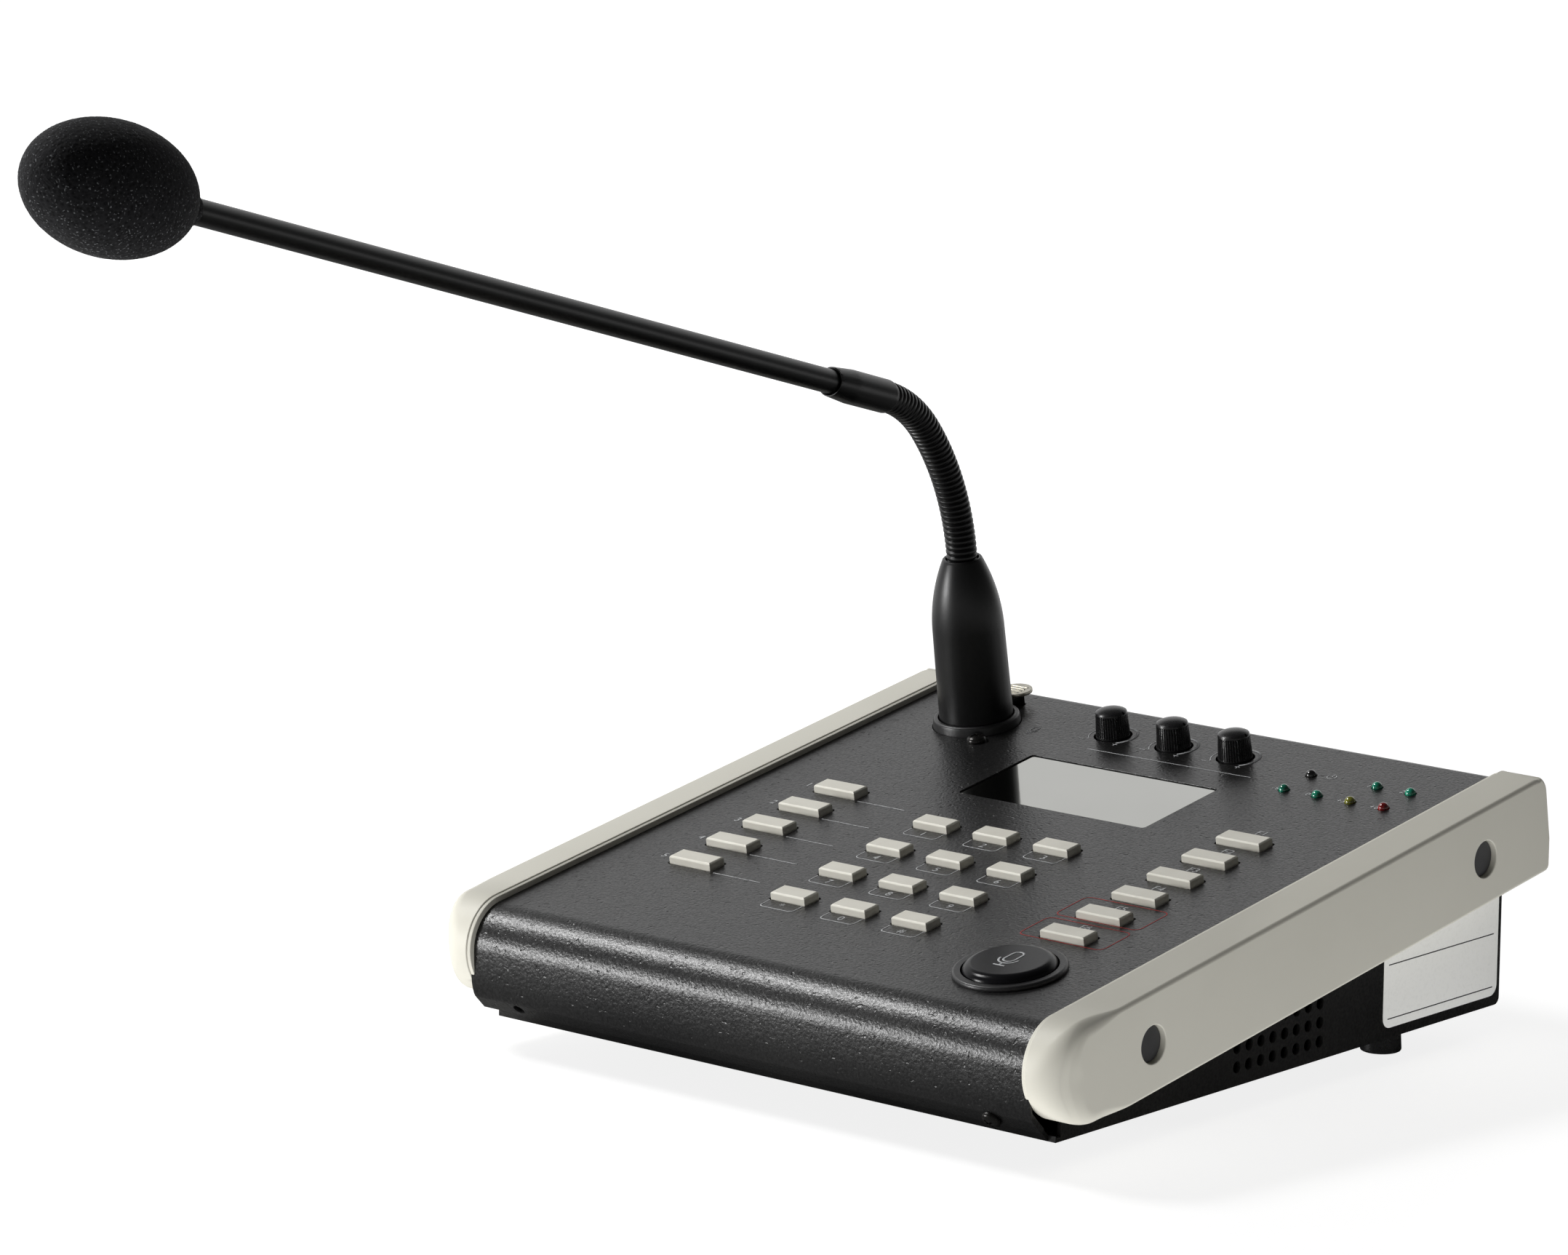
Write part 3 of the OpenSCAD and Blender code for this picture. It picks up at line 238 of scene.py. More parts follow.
def setFloor():
    bpy.ops.mesh.primitive_plane_add(size=studio["floorWide"])
    floor = bpy.context.object
    floor.name = "floor"
    colours = {"Base Color": studio["floor"], "Emission Color": white}
    paper, tree, shader, place = startFinish("paperFloor", studio["floorRough"],
                                             specular=studio["floorSpecular"], extra=colours)
    # the paper fades to a white backdrop away from the object, and bounces light under its sides
    path = tree.nodes.new("ShaderNodeLightPath").outputs
    away = nodeOf(tree, "VectorMath", {0: place}, "Value", operation="LENGTH")
    fade = easeOf(tree, away, *studio["fadeReach"], studio["floorNear"], studio["floorFar"])
    seen = mathOf(tree, "MULTIPLY", path["Is Camera Ray"], fade)
    # gloss and glass see the white too, beyond the shaded paper
    farther = easeOf(tree, away, *studio["shineReach"], 0.0, studio["floorFar"])
    shine = mathOf(tree, "ADD", path["Is Glossy Ray"], path["Is Transmission Ray"])
    shown = mathOf(tree, "MULTIPLY_ADD", shine, farther, seen)
    near = easeOf(tree, away, *studio["bounceReach"], studio["bounce"], 0.0)
    glow = mathOf(tree, "MULTIPLY_ADD", path["Is Diffuse Ray"], near, shown)
    feed(tree, shader, {"Emission Strength": glow})
    floor.data.materials.append(paper)


bpy.context.scene.view_settings.view_transform = "Standard"
setCamera()
setLights()
setWorld()
setFloor()
print("studio set")


# finishes of the call station

middle = (0.3, 0.7)  # most values of a noise lie between these
coat = {"rough": 0.4, "peel": (1300, 2.0), "pits": (700, 0.5), "fine": (3600, 2.0),
        "cloud": (18, 3.0), "roughs": (0.30, 0.39), "specular": 0.46, "fleck": 0.4, "bump": 0.6,
        "tones": ((0.35, (0.006, 0.006, 0.0062)), (0.65, (0.011, 0.0108, 0.0106))),
        "peelDeep": 0.00017, "pitDeep": 0.00013, "pitRange": (0.22, 0.32)}


def makeCoat(name, depth=1.0, specular=coat["specular"]):
    finish, tree, shader, place = startFinish(name, coat["rough"])
    peel, pits, fine, cloud = [noiseOf(tree, place, *coat[kind]) for kind in ("peel", "pits", "fine", "cloud")]
    hollows = [specular * (1 + coat["fleck"] * side) for side in (-1, 1)]  # hollows of the peel shine less
    strength = coat["bump"] * depth
    soft = bumpOf(tree, spreadOf(tree, pits, *coat["pitRange"], 0.0, 1.0), strength, coat["pitDeep"])
    feed(tree, shader, {"Base Color": tintOf(tree, cloud, *coat["tones"]),
                        "Roughness": spreadOf(tree, fine, *middle, *coat["roughs"]),
                        "Specular IOR Level": spreadOf(tree, peel, *middle, *hollows),
                        "Normal": bumpOf(tree, peel, strength, coat["peelDeep"], Normal=soft)})
    return finish


plastics = {
    "paleMoulding": {"rough": 0.5, "specular": 0.35, "cloud": (26, 4.0), "grain": (3800, 2.0),
                     "tones": ((0.635, 0.618, 0.54), (0.665, 0.648, 0.57)),
                     "roughs": (0.44, 0.58), "bump": (0.25, 0.00003)},
    "keyPlastic": {"rough": 0.42, "specular": 0.4, "cloud": (140, 3.0), "grain": (5200, 1.0),
                   "tones": ((0.73, 0.705, 0.62), (0.78, 0.76, 0.675)),
                   "roughs": (0.36, 0.5), "bump": (0.2, 0.00002)},
}
speck = {"scale": 2400, "range": (0.83, 0.88), "tone": (0.16, 0.155, 0.14, 1)}


def makePlastic(name, rough, cloud, tones, grain, roughs, bump, specular=0.5, dust=0.0, extra=None):
    finish, tree, shader, place = startFinish(name, rough, specular=specular, extra=extra)
    base = tintOf(tree, noiseOf(tree, place, *cloud), *zip(middle, tones))
    if dust:  # pale specks of dust on dark plastic
        specks = noiseOf(tree, place, speck["scale"], 0.0)
        base = mixOf(tree, spreadOf(tree, specks, *speck["range"], 0.0, dust), base, speck["tone"])
    fine = noiseOf(tree, place, *grain)
    feed(tree, shader, {"Base Color": base, "Roughness": spreadOf(tree, fine, *middle, *roughs),
                        "Normal": bumpOf(tree, fine, *bump)})
    return finish


blackLook = {"cloud": (60, 4.0), "tones": (0.75, 1.25), "roughs": (0.85, 1.15), "deep": 0.00003}
blacks = {
    "footRubber": {"rough": 0.3, "tone": (0.012, 0.012, 0.012), "grain": 1500, "bump": 0.3, "dust": 0.4},
    "blackPlastic": {"rough": 0.4, "tone": (0.011, 0.011, 0.0115), "grain": 2600, "bump": 0.3, "dust": 0.3},
    "talkCap": {"rough": 0.22, "tone": (0.006, 0.006, 0.007), "grain": 3600, "bump": 0.12,
                "specular": 0.12, "dust": 0.2},
    "knobBlack": {"rough": 0.3, "tone": (0.009, 0.009, 0.0095), "grain": 2600, "bump": 0.1,
                  "specular": 0.4, "dust": 0.3},
    "satinBlack": {"rough": 0.36, "tone": (0.003, 0.003, 0.0033), "grain": 4200, "bump": 0.12,
                   "specular": 0.38, "dust": 0.12},
    "blackScrew": {"rough": 0.28, "tone": (0.02, 0.019, 0.018), "grain": 900, "bump": 0.3,
                   "extra": {"Metallic": 0.7}},
    "plugDark": {"rough": 0.35, "tone": (0.05, 0.05, 0.052), "grain": 2200, "bump": 0.2},
    "displayBody": {"rough": 0.4, "tone": (0.02, 0.022, 0.02), "grain": 1500, "bump": 0.1},
}


def makeBlack(name, rough, tone, grain, bump, **more):
    tones = [[c * k for c in tone] for k in blackLook["tones"]]
    roughs = [rough * k for k in blackLook["roughs"]]
    dents = (bump, blackLook["deep"])
    return makePlastic(name, rough, blackLook["cloud"], tones, (grain, 2.0), roughs, dents, **more)


metalLook = {"brush": (900, 4.0), "tones": (0.8, 1.1), "roughs": (0.7, 1.3), "bump": (0.15, 0.00002)}
metals = {"screwSteel": (0.3, (0.42, 0.41, 0.39)), "pillarBrass": (0.35, (0.75, 0.58, 0.28)),
          "capsuleMetal": (0.35, (0.55, 0.55, 0.55))}


def makeMetal(name, rough, tone):
    finish, tree, shader, place = startFinish(name, rough, metal=1.0)
    brush = noiseOf(tree, place, *metalLook["brush"])
    tones = [[min(1, c * k) for c in tone] for k in metalLook["tones"]]
    roughs = [rough * k for k in metalLook["roughs"]]
    feed(tree, shader, {"Base Color": tintOf(tree, brush, *zip(middle, tones)),
                        "Roughness": spreadOf(tree, brush, *middle, *roughs),
                        "Normal": bumpOf(tree, brush, *metalLook["bump"])})
    return finish


latchLook = {"rough": 0.38, "stem": (0.012, 0.012, 0.012, 1), "stemTop": (2.9, 3.0), "stretch": (1, 6, 1),
             "tones": ((0.40, 0.38, 0.32), (0.62, 0.59, 0.51))}


def makeLatchMetal(name):  # a bright tab on a dark stem
    finish, tree, shader, place = startFinish(name, latchLook["rough"], metal=1.0)
    up = panelFrame.to_3x3() @ Vector((0, 0, 1))
    lift = mathOf(tree, "SUBTRACT", axisOf(tree, place, up), up.dot(panelFrame.translation))
    brush = noiseOf(tree, place, *metalLook["brush"], stretch=latchLook["stretch"])
    above = spreadOf(tree, lift, *(z * mm for z in latchLook["stemTop"]), 0.0, 1.0)
    bright = tintOf(tree, brush, *zip(middle, latchLook["tones"]))
    feed(tree, shader, {"Base Color": mixOf(tree, above, latchLook["stem"], bright),
                        "Normal": bumpOf(tree, brush, *metalLook["bump"])})
    return finish


lampLook = {"rough": 0.07, "specular": 0.6, "extra": {"Coat Weight": 0.4, "Coat Roughness": 0.04},
            "swirl": 420, "at": (0.35, 0.65), "bump": (0.05, 0.00002)}
lamps = {
    "lampGreen": ((0.004, 0.10, 0.06), (0.02, 0.33, 0.20)),
    "lampYellow": ((0.10, 0.10, 0.008), (0.30, 0.30, 0.04)),
    "lampRed": ((0.10, 0.003, 0.003), (0.34, 0.012, 0.012)),
    "lampDark": ((0.004, 0.004, 0.004), (0.02, 0.018, 0.016)),
}


def makeLamp(name, *tones):
    finish, tree, shader, place = startFinish(name, lampLook["rough"], specular=lampLook["specular"],
                                              extra=lampLook["extra"])
    swirl = noiseOf(tree, place, lampLook["swirl"])
    feed(tree, shader, {"Base Color": tintOf(tree, swirl, *zip(lampLook["at"], tones)),
                        "Normal": bumpOf(tree, swirl, *lampLook["bump"])})
    return finish


board = {"rough": 0.45, "tracks": 260, "tones": ((0.03, (0.05, 0.16, 0.07)), (0.07, (0.015, 0.085, 0.03))),
         "bump": (0.2, 0.00005)}


def makeBoard(name):
    finish, tree, shader, place = startFinish(name, board["rough"])
    tracks = cellsOf(tree, place, board["tracks"], "DISTANCE_TO_EDGE")
    feed(tree, shader, {"Base Color": tintOf(tree, tracks, *board["tones"]),
                        "Normal": bumpOf(tree, tracks, *board["bump"])})
    return finish


# the foam's tones run from painted shade in the hollows of its pores up to its own black
foamLook = {"rough": 0.95, "specular": 0.12, "extra": {"Sheen Weight": 0.03, "Sheen Roughness": 0.6},
            "pores": 950, "flecks": 1900, "fleckRange": (0.68, 0.80, 0.0, 0.9), "fleck": (0.13, 0.135, 0.14, 1),
            "tones": ((0.15, (0.0036, 0.0036, 0.0041)), (0.6, (0.0118, 0.0118, 0.013))), "bump": (0.4, 0.0003)}


def makeFoamSkin(name):
    finish, tree, shader, place = startFinish(name, foamLook["rough"], specular=foamLook["specular"],
                                              extra=foamLook["extra"])
    # the pores' hollows are painted darker, as shade; the same cells shape the bump
    pores = cellsOf(tree, place, foamLook["pores"])
    flecks = noiseOf(tree, place, foamLook["flecks"], 0.0)  # cut cell walls that catch the light
    base = mixOf(tree, spreadOf(tree, flecks, *foamLook["fleckRange"]),
                 tintOf(tree, pores, *foamLook["tones"]), foamLook["fleck"])
    feed(tree, shader, {"Base Color": base, "Normal": bumpOf(tree, pores, *foamLook["bump"])})
    return finish


inkLook = {"rough": 0.55, "specular": 0.3, "wear": (1300, 3.0), "at": (0.5, 0.32), "bump": (0.2, 0.00003)}
inks = {  # tone, worn tone
    "whiteInk": ((0.55, 0.56, 0.57), (0.34, 0.345, 0.35)),
    "redInk": ((0.42, 0.03, 0.025), (0.26, 0.02, 0.018)),
    "labelPaper": ((0.90, 0.90, 0.87), (0.86, 0.86, 0.83)),
    "labelInk": ((0.03, 0.03, 0.03), (0.06, 0.06, 0.06)),
}


def makeInk(name, tone, worn):
    finish, tree, shader, place = startFinish(name, inkLook["rough"], specular=inkLook["specular"])
    wear = noiseOf(tree, place, *inkLook["wear"])
    toneAt, wornAt = inkLook["at"]
    feed(tree, shader, {"Base Color": tintOf(tree, wear, (wornAt, worn), (toneAt, tone)),
                        "Normal": bumpOf(tree, wear, *inkLook["bump"])})
    return finish


glass = {"rough": 0.05, "haze": (45, 4.0), "tones": ((0.385, 0.387, 0.365), (0.40, 0.402, 0.38)),
         "roughs": (0.04, 0.08)}


def makeGlass(name):  # the cell's backing mirrors light softly
    finish, tree, shader, place = startFinish(name, glass["rough"], metal=1.0)
    haze = noiseOf(tree, place, *glass["haze"])
    feed(tree, shader, {"Base Color": tintOf(tree, haze, *zip(middle, glass["tones"])),
                        "Roughness": spreadOf(tree, haze, *middle, *glass["roughs"])})
    return finish


finishes = {
    "coatedSteel": makeCoat("coatedSteel"),
    "trayCoat": makeCoat("trayCoat", depth=0.45, specular=0.3),
    "latchMetal": makeLatchMetal("latchMetal"),
    "circuitBoard": makeBoard("circuitBoard"),
    "windowGlass": makeGlass("windowGlass"),
    "foamSkin": makeFoamSkin("foamSkin"),
    **{name: makePlastic(name, **how) for name, how in plastics.items()},
    **{name: makeBlack(name, **how) for name, how in blacks.items()},
    **{name: makeMetal(name, *how) for name, how in metals.items()},
    **{name: makeLamp(name, *tones) for name, tones in lamps.items()},
    **{name: makeInk(name, *tones) for name, tones in inks.items()},
}
print("finishes mixed:", len(finishes))


# bench helpers

def setMode(mode):
    bpy.ops.object.mode_set(mode=mode)


def pickOnly(body):
    bpy.ops.object.select_all(action="DESELECT")
    body.hide_set(False)
    body.select_set(True)
    bpy.context.view_layer.objects.active = body


def pickMesh(action="SELECT"):
    bpy.ops.mesh.select_all(action=action)


def faceOut():  # leaves edit mode with all faces turned outwards
    pickMesh()
    bpy.ops.mesh.normals_make_consistent(inside=False)
    setMode("OBJECT")


def closeUp():
    pickMesh()
    bpy.ops.mesh.fill_holes(sides=0)
    faceOut()


def applyAll(body):
    pickOnly(body)
    for modifier in list(body.modifiers):
        bpy.ops.object.modifier_apply(modifier=modifier.name)


def smoothBody(body, angle):
    pickOnly(body)
    bpy.ops.object.shade_smooth_by_angle(angle=math.radians(angle))


def applyPlace():
    bpy.ops.object.transform_apply(location=True, rotation=True, scale=True)


def settle(body, place):
    body.matrix_world = place @ body.matrix_world
    pickOnly(body)
    applyPlace()


def finishPiece(body, name, finish, rides, stands=()):
    body.name = body.data.name = name
    body.data.materials.clear()
    body.data.materials.append(finishes[finish])
    if rides:
        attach(body, rides)
    if stands:
        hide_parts(*stands)


def bodyOf(node):
    return next(b for b, members in frame["record"]["behaviour"]["bodies"].items() if node in members)


def bevelEdges(body, wide, limit):
    bevel = body.modifiers.new("edges", "BEVEL")
    bevel.width = wide * mm
    bevel.segments = 2
    bevel.limit_method = "ANGLE"
    bevel.angle_limit = math.radians(limit)
    bevel.use_clamp_overlap = False
    bevel.miter_outer = "MITER_ARC"
    applyAll(body)


def evenShade(body, angle):
    smoothBody(body, angle)
    even = body.modifiers.new("shade", "WEIGHTED_NORMAL")
    even.keep_sharp = True
    applyAll(body)


merging = {"near": 0.000002, "flat": 0.4}


def mergeClose(body):
    pickOnly(body)
    setMode("EDIT")
    pickMesh()
    bpy.ops.mesh.remove_doubles(threshold=merging["near"])
    bpy.ops.mesh.dissolve_limited(angle_limit=math.radians(merging["flat"]))
    setMode("OBJECT")


def skinOf(node, edge, limit=35, angle=30, shape=None):  # a merged copy of a solid, its edges broken
    pickOnly(frame["nodes"][node])
    bpy.ops.object.duplicate()
    body = bpy.context.object
    bpy.ops.object.parent_clear(type="CLEAR_KEEP_TRANSFORM")
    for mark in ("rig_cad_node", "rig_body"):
        if mark in body:
            del body[mark]
    if body.data.has_custom_normals:
        bpy.ops.mesh.customdata_custom_splitnormals_clear()
    mergeClose(body)
    if shape:
        shape(body)
        mergeClose(body)
    if edge:
        bevelEdges(body, edge, limit)
    evenShade(body, angle)
    return body


def skinPiece(node, name, finish, slot, edge=0.0, **how):
    finishPiece(skinOf(node, edge, **how), name, finish, bodyOf(node), [node])


def turnRings(rings, sides):  # one circle pulled up ring by ring, in mm
    bpy.ops.mesh.primitive_circle_add(vertices=sides, radius=rings[0][0] * mm, location=(0, 0, 0))
    body = bpy.context.object
    setMode("EDIT")
    pickMesh()
    bpy.ops.transform.translate(value=(0, 0, rings[0][1] * mm))
    for (wasR, wasZ), (r, z) in zip(rings, rings[1:]):
        bpy.ops.mesh.extrude_region_move(TRANSFORM_OT_translate={"value": (0, 0, (z - wasZ) * mm)})
        if r == 0:
            bpy.ops.mesh.merge(type="CENTER")
        elif abs(r - wasR) > 1e-6:
            bpy.ops.transform.resize(value=(r / wasR, r / wasR, 1), center_override=(0, 0, 0))
    closeUp()
    return body


def copyOf(body):
    pickOnly(body)
    bpy.ops.object.duplicate()
    return bpy.context.object


def dropBody(body):
    bpy.data.objects.remove(body)


def joinAll(bodies):
    pickOnly(bodies[0])
    for body in bodies[1:]:
        body.select_set(True)
    bpy.ops.object.join()
    return bpy.context.object


def cutBy(body, cutter):
    cut = body.modifiers.new("cut", "BOOLEAN")
    cut.operation = "DIFFERENCE"
    cut.solver = "EXACT"
    cut.object = cutter
    applyAll(body)
    dropBody(cutter)


def addBlock(size, at):
    bpy.ops.mesh.primitive_cube_add(size=1, location=[c * mm for c in at])
    body = bpy.context.object
    body.scale = [c * mm for c in size]
    applyPlace()
    return body


# steel case and feet

frontLip = {"frontY": -105.9, "bendAt": (-102.9, 18.02), "bendR": 3.0, "cornerZ": 16.779, "ahead": 2.9,
            "cuts": 6, "slack": 0.02}


def isClose(value, target):
    return abs(value - target) < frontLip["slack"]


def pickFront(body):  # the faces of the flat front
    spots = body.data.vertices
    for part in (*spots, *body.data.edges):
        part.select = False
    for face in body.data.polygons:
        face.select = all(isClose(spots[n].co.y / mm, frontLip["frontY"]) for n in face.vertices)


def softenLip(body):  # below the roll, the front keeps curving into its lip
    bendY, bendZ = frontLip["bendAt"]
    bendR, cornerZ, cuts = frontLip["bendR"], frontLip["cornerZ"], frontLip["cuts"]
    topZ = max(v.co.z / mm for v in body.data.vertices if isClose(v.co.y / mm, frontLip["frontY"]))
    for k in range(1, cuts):  # rows across the flat front
        pickFront(body)
        pickOnly(body)
        setMode("EDIT")
        bpy.ops.mesh.select_mode(type="FACE")
        bpy.ops.mesh.bisect(plane_co=(0, 0, (topZ + (bendZ - topZ) * k / cuts) * mm), plane_no=(0, 0, 1))
        bpy.ops.mesh.select_mode(type="VERT")
        setMode("OBJECT")
    flat, arc = topZ - bendZ, bendR * math.pi / 4
    ahead = frontLip["ahead"] / math.sqrt(2)
    for vertex in body.data.vertices:
        y, z = vertex.co.y / mm - bendY, vertex.co.z / mm - bendZ
        if z >= 0 and isClose(y, -bendR):
            along = flat - z
        elif z < 0 and y < 0 and isClose(math.hypot(y, z), bendR):
            along = flat + bendR * math.atan2(-z, -y)
        else:
            continue
        t = min(1, max(0, along / (flat + arc)))
        vertex.co.y = (frontLip["frontY"] + ahead * t * t) * mm
        vertex.co.z = ((1 - t) ** 2 * topZ + 2 * t * (1 - t) * cornerZ + t * t * (cornerZ - ahead)) * mm


case = {
    "top_cover": {"name": "steelCover", "edge": 0.12, "finish": "coatedSteel", "slot": "coated_steel",
                  "shape": softenLip},
    "bottom_tray": {"name": "steelTray", "edge": 0.12, "finish": "trayCoat", "slot": "coated_steel"},
    "feet": {"name": "rubberFeet", "edge": 0.3, "finish": "footRubber", "slot": "foot_rubber"},
    "end_panel_plugs": {"name": "wellPlugs", "edge": 0.35, "finish": "plugDark", "slot": "black_plastic"},
}


def dressAll(pieces):
    for node, how in pieces.items():
        skinPiece(node, **how)


dressAll(case)
print("case dressed")


# moulded end panels: an outline carried from the lip, up a fine step and round the outer edge

end = {"inner": 92.5, "outer": 104.0, "lip": 1.3, "lipThick": 1.8, "lipRound": 0.3, "rim": 1.8, "tall": 26.8,
       "fall": 0.8, "noseV": -1.1696, "fadeV": 11.83, "noseRound": 10.0, "edgeRound": 1.1, "rearV": 193.35,
       "topR": 5.0, "lowR": 2.0, "lowV": 190.27, "kink": (-16.5, -4.6), "lipRear": 187.2, "lipGap": 0.01,
       "lipSweep": 120, "rows": [20, 35, 70, 110, 150], "step": 92.35, "stepDeep": 0.32, "stepMid": 0.1,
       "stepRise": (-0.02, 0.06, 0.2), "bendRound": 3.6, "fadeSteps": 10, "noseSteps": 48, "lowSteps": 6,
       "topSteps": 8, "edgeSteps": 8, "wells": (22.0, 164.0), "wellLift": -12.5, "wellWide": 9.8,
       "wellFloor": 96.5, "wellDeep": 20, "wellSides": 64, "wellBevel": 0.35, "angle": 32}


def endOutline():  # place, outward direction, edge rounding, top fall, lip
    low, noseR = end["rim"] - end["tall"], end["tall"] / 2
    fadeLong = end["fadeV"] - end["noseV"]
    fade = [end["noseV"] + fadeLong * k / end["fadeSteps"] for k in range(end["fadeSteps"] + 1)]
    points = []

    def put(v, lift, turn, lip, top=False):
        share = min(1, max(0, (v - end["noseV"]) / fadeLong))
        share = share * share * (3 - 2 * share)
        outV, outLift = spin(turn)
        edge = end["bendRound"] + (end["edgeRound"] - end["bendRound"]) * share
        if 90 <= turn <= 270:  # roundest at the front of the nose
            edge += (end["noseRound"] - end["bendRound"]) * outV * outV
        points.append((v, lift, outV, outLift, edge, share if top else 0, lip))

    put(end["rearV"] - end["topR"], end["rim"], 90, 0, True)
    put(end["lipRear"] + end["lipGap"], end["rim"], 90, 0, True)
    for v in [end["lipRear"]] + end["rows"][::-1] + fade[:0:-1]:
        put(v, end["rim"], 90, 1, True)
    for k in range(end["noseSteps"] + 1):
        turn = 90 + 180 * k / end["noseSteps"]
        outV, outLift = spin(turn)
        lip = int(turn <= 90 + end["lipSweep"])
        put(end["noseV"] + noseR * outV, end["rim"] - noseR + noseR * outLift, turn, lip)
    for v in fade[1:] + end["rows"] + [end["lowV"]]:
        put(v, low, 270, 0)
    for k in range(1, end["lowSteps"] + 1):
        turn = 270 + (90 - layout["slope"]) * k / end["lowSteps"]
        outV, outLift = spin(turn)
        put(end["lowV"] + end["lowR"] * outV, low + end["lowR"] * (1 + outLift), turn, 0)
    put(end["rearV"], *end["kink"], 0)
    for k in range(end["topSteps"]):
        turn = 90 * k / end["topSteps"]
        outV, outLift = spin(turn)
        put(end["rearV"] - end["topR"] * (1 - outV), end["rim"] - end["topR"] * (1 - outLift), turn, 0, turn > 60)
    return points


def endRings(edge, lip):  # (across, inset) from the inner face to the outer one
    tip, step, thick = end["inner"] - end["lip"] * lip, end["step"], end["lipThick"]
    deep = end["stepDeep"] * lip  # the lip lies a little lower than the rim
    soft, (before, rise, after) = end["lipRound"], end["stepRise"]
    rings = [(end["inner"], thick), (tip, thick), (tip, deep + soft), (tip + 0.3 * soft, deep + 0.3 * soft),
             (tip + soft, deep), (step + before, deep), (step, deep), (step + rise, end["stepMid"] * lip),
             (step + after, 0)]
    for k in range(end["edgeSteps"] + 1):
        across, up = spin(90 * k / end["edgeSteps"])
        rings.append((end["outer"] - edge * (1 - up), edge * (1 - across)))
    return rings


def onWellRim(spot):
    away = [math.hypot(spot.y - v * mm, spot.z - end["wellLift"] * mm) - end["wellWide"] / 2 * mm
            for v in end["wells"]]
    return abs(spot.x - end["outer"] * mm) < 1e-5 and min(map(abs, away)) < 2e-5


def makeEnds():
    outline = endOutline()
    rows, columns = len(outline), len(endRings(1, 1))
    bpy.ops.mesh.primitive_grid_add(x_subdivisions=columns - 1, y_subdivisions=rows)
    right = bpy.context.object
    for j in range(rows + 1):
        v, lift, outV, outLift, edge, top, lip = outline[j % rows]
        for i, (x, inset) in enumerate(endRings(edge, lip)):
            fall = end["fall"] * top * max(0, x - end["inner"]) / (end["outer"] - end["inner"])
            spot = (x, v - inset * outV, lift - inset * outLift - fall)
            right.data.vertices[j * columns + i].co = [c * mm for c in spot]
    setMode("EDIT")
    pickMesh()
    bpy.ops.mesh.remove_doubles(threshold=0.0000005)
    bpy.ops.mesh.fill_holes(sides=0)
    faceOut()
    for v in end["wells"]:
        drill = turnRings([(end["wellWide"] / 2, lift) for lift in (0, end["wellDeep"])], end["wellSides"])
        settle(drill, shift(end["wellFloor"], v, end["wellLift"]) @ Matrix.Rotation(math.pi / 2, 4, "Y"))
        cutBy(right, drill)
    pickOnly(right)
    setMode("EDIT")
    bpy.ops.mesh.select_mode(type="EDGE")
    pickMesh("DESELECT")
    setMode("OBJECT")
    spots = [vertex.co for vertex in right.data.vertices]
    for edge in right.data.edges:  # the rims of the screw wells
        edge.select = all(onWellRim(spots[n]) for n in edge.vertices)
    setMode("EDIT")
    bpy.ops.mesh.bevel(offset=end["wellBevel"] * mm, segments=3)
    setMode("OBJECT")
    evenShade(right, end["angle"])
    left = copyOf(right)
    settle(left, panelFrame @ Matrix.Scale(-1, 4, (1, 0, 0)))
    setMode("EDIT")
    faceOut()
    settle(right, panelFrame)
    for body, side in ((left, "left"), (right, "right")):
        finishPiece(body, side + "EndMoulding", "paleMoulding", "console", [side + "_end_panel"])


makeEnds()
print("end panels moulded")


# keys

keyLook = {"edge": 0.11, "limit": 20, "chamfer": 0.4, "was": (0.45, 0.95), "foot": 0.6, "slack": 0.01}


def squareKey(body):  # a flat top with one narrow chamfer all round
    back = panelFrame.inverted()
    spots = [back @ vertex.co / mm for vertex in body.data.vertices]
    centre = [(min(s[a] for s in spots) + max(s[a] for s in spots)) / 2 for a in (0, 1)]
    raised = [k for k, s in enumerate(spots) if s.z > keyLook["foot"]]
    half = [max(abs(spots[k][a] - centre[a]) for k in raised) for a in (0, 1)]
    top = max(spots[k].z for k in raised)
    for k in raised:
        spot, onTop = spots[k], spots[k].z > top - keyLook["slack"]
        for a, was in enumerate(keyLook["was"]):
            away = spot[a] - centre[a]
            if abs(away) > half[a] - was:
                spot[a] = centre[a] + math.copysign(half[a] - (keyLook["chamfer"] if onTop else 0), away)
        spot.z = top - (0 if onTop else keyLook["chamfer"])
        body.data.vertices[k].co = panelFrame @ (spot * mm)


def dressKeys():
    for node in [n for n in frame["nodes"] if "_key_" in n]:
        skinPiece(node, node.replace("_key_", "Key"), "keyPlastic", "key_plastic", keyLook["edge"],
                  limit=keyLook["limit"], shape=squareKey)


dressKeys()
print("keys dressed")


# talk button, display, lamps, microphone parts and rear sockets

stem = {"raise": 0.08, "slack": 0.01}


def clearFoot(body):  # the talk stem stops just short of its switch
    back = panelFrame.inverted()
    lifts = [(back @ vertex.co).z for vertex in body.data.vertices]
    raised = panelFrame.to_3x3() @ Vector((0, 0, stem["raise"] * mm))
    for vertex, lift in zip(body.data.vertices, lifts):
        if lift < min(lifts) + stem["slack"] * mm:
            vertex.co += raised


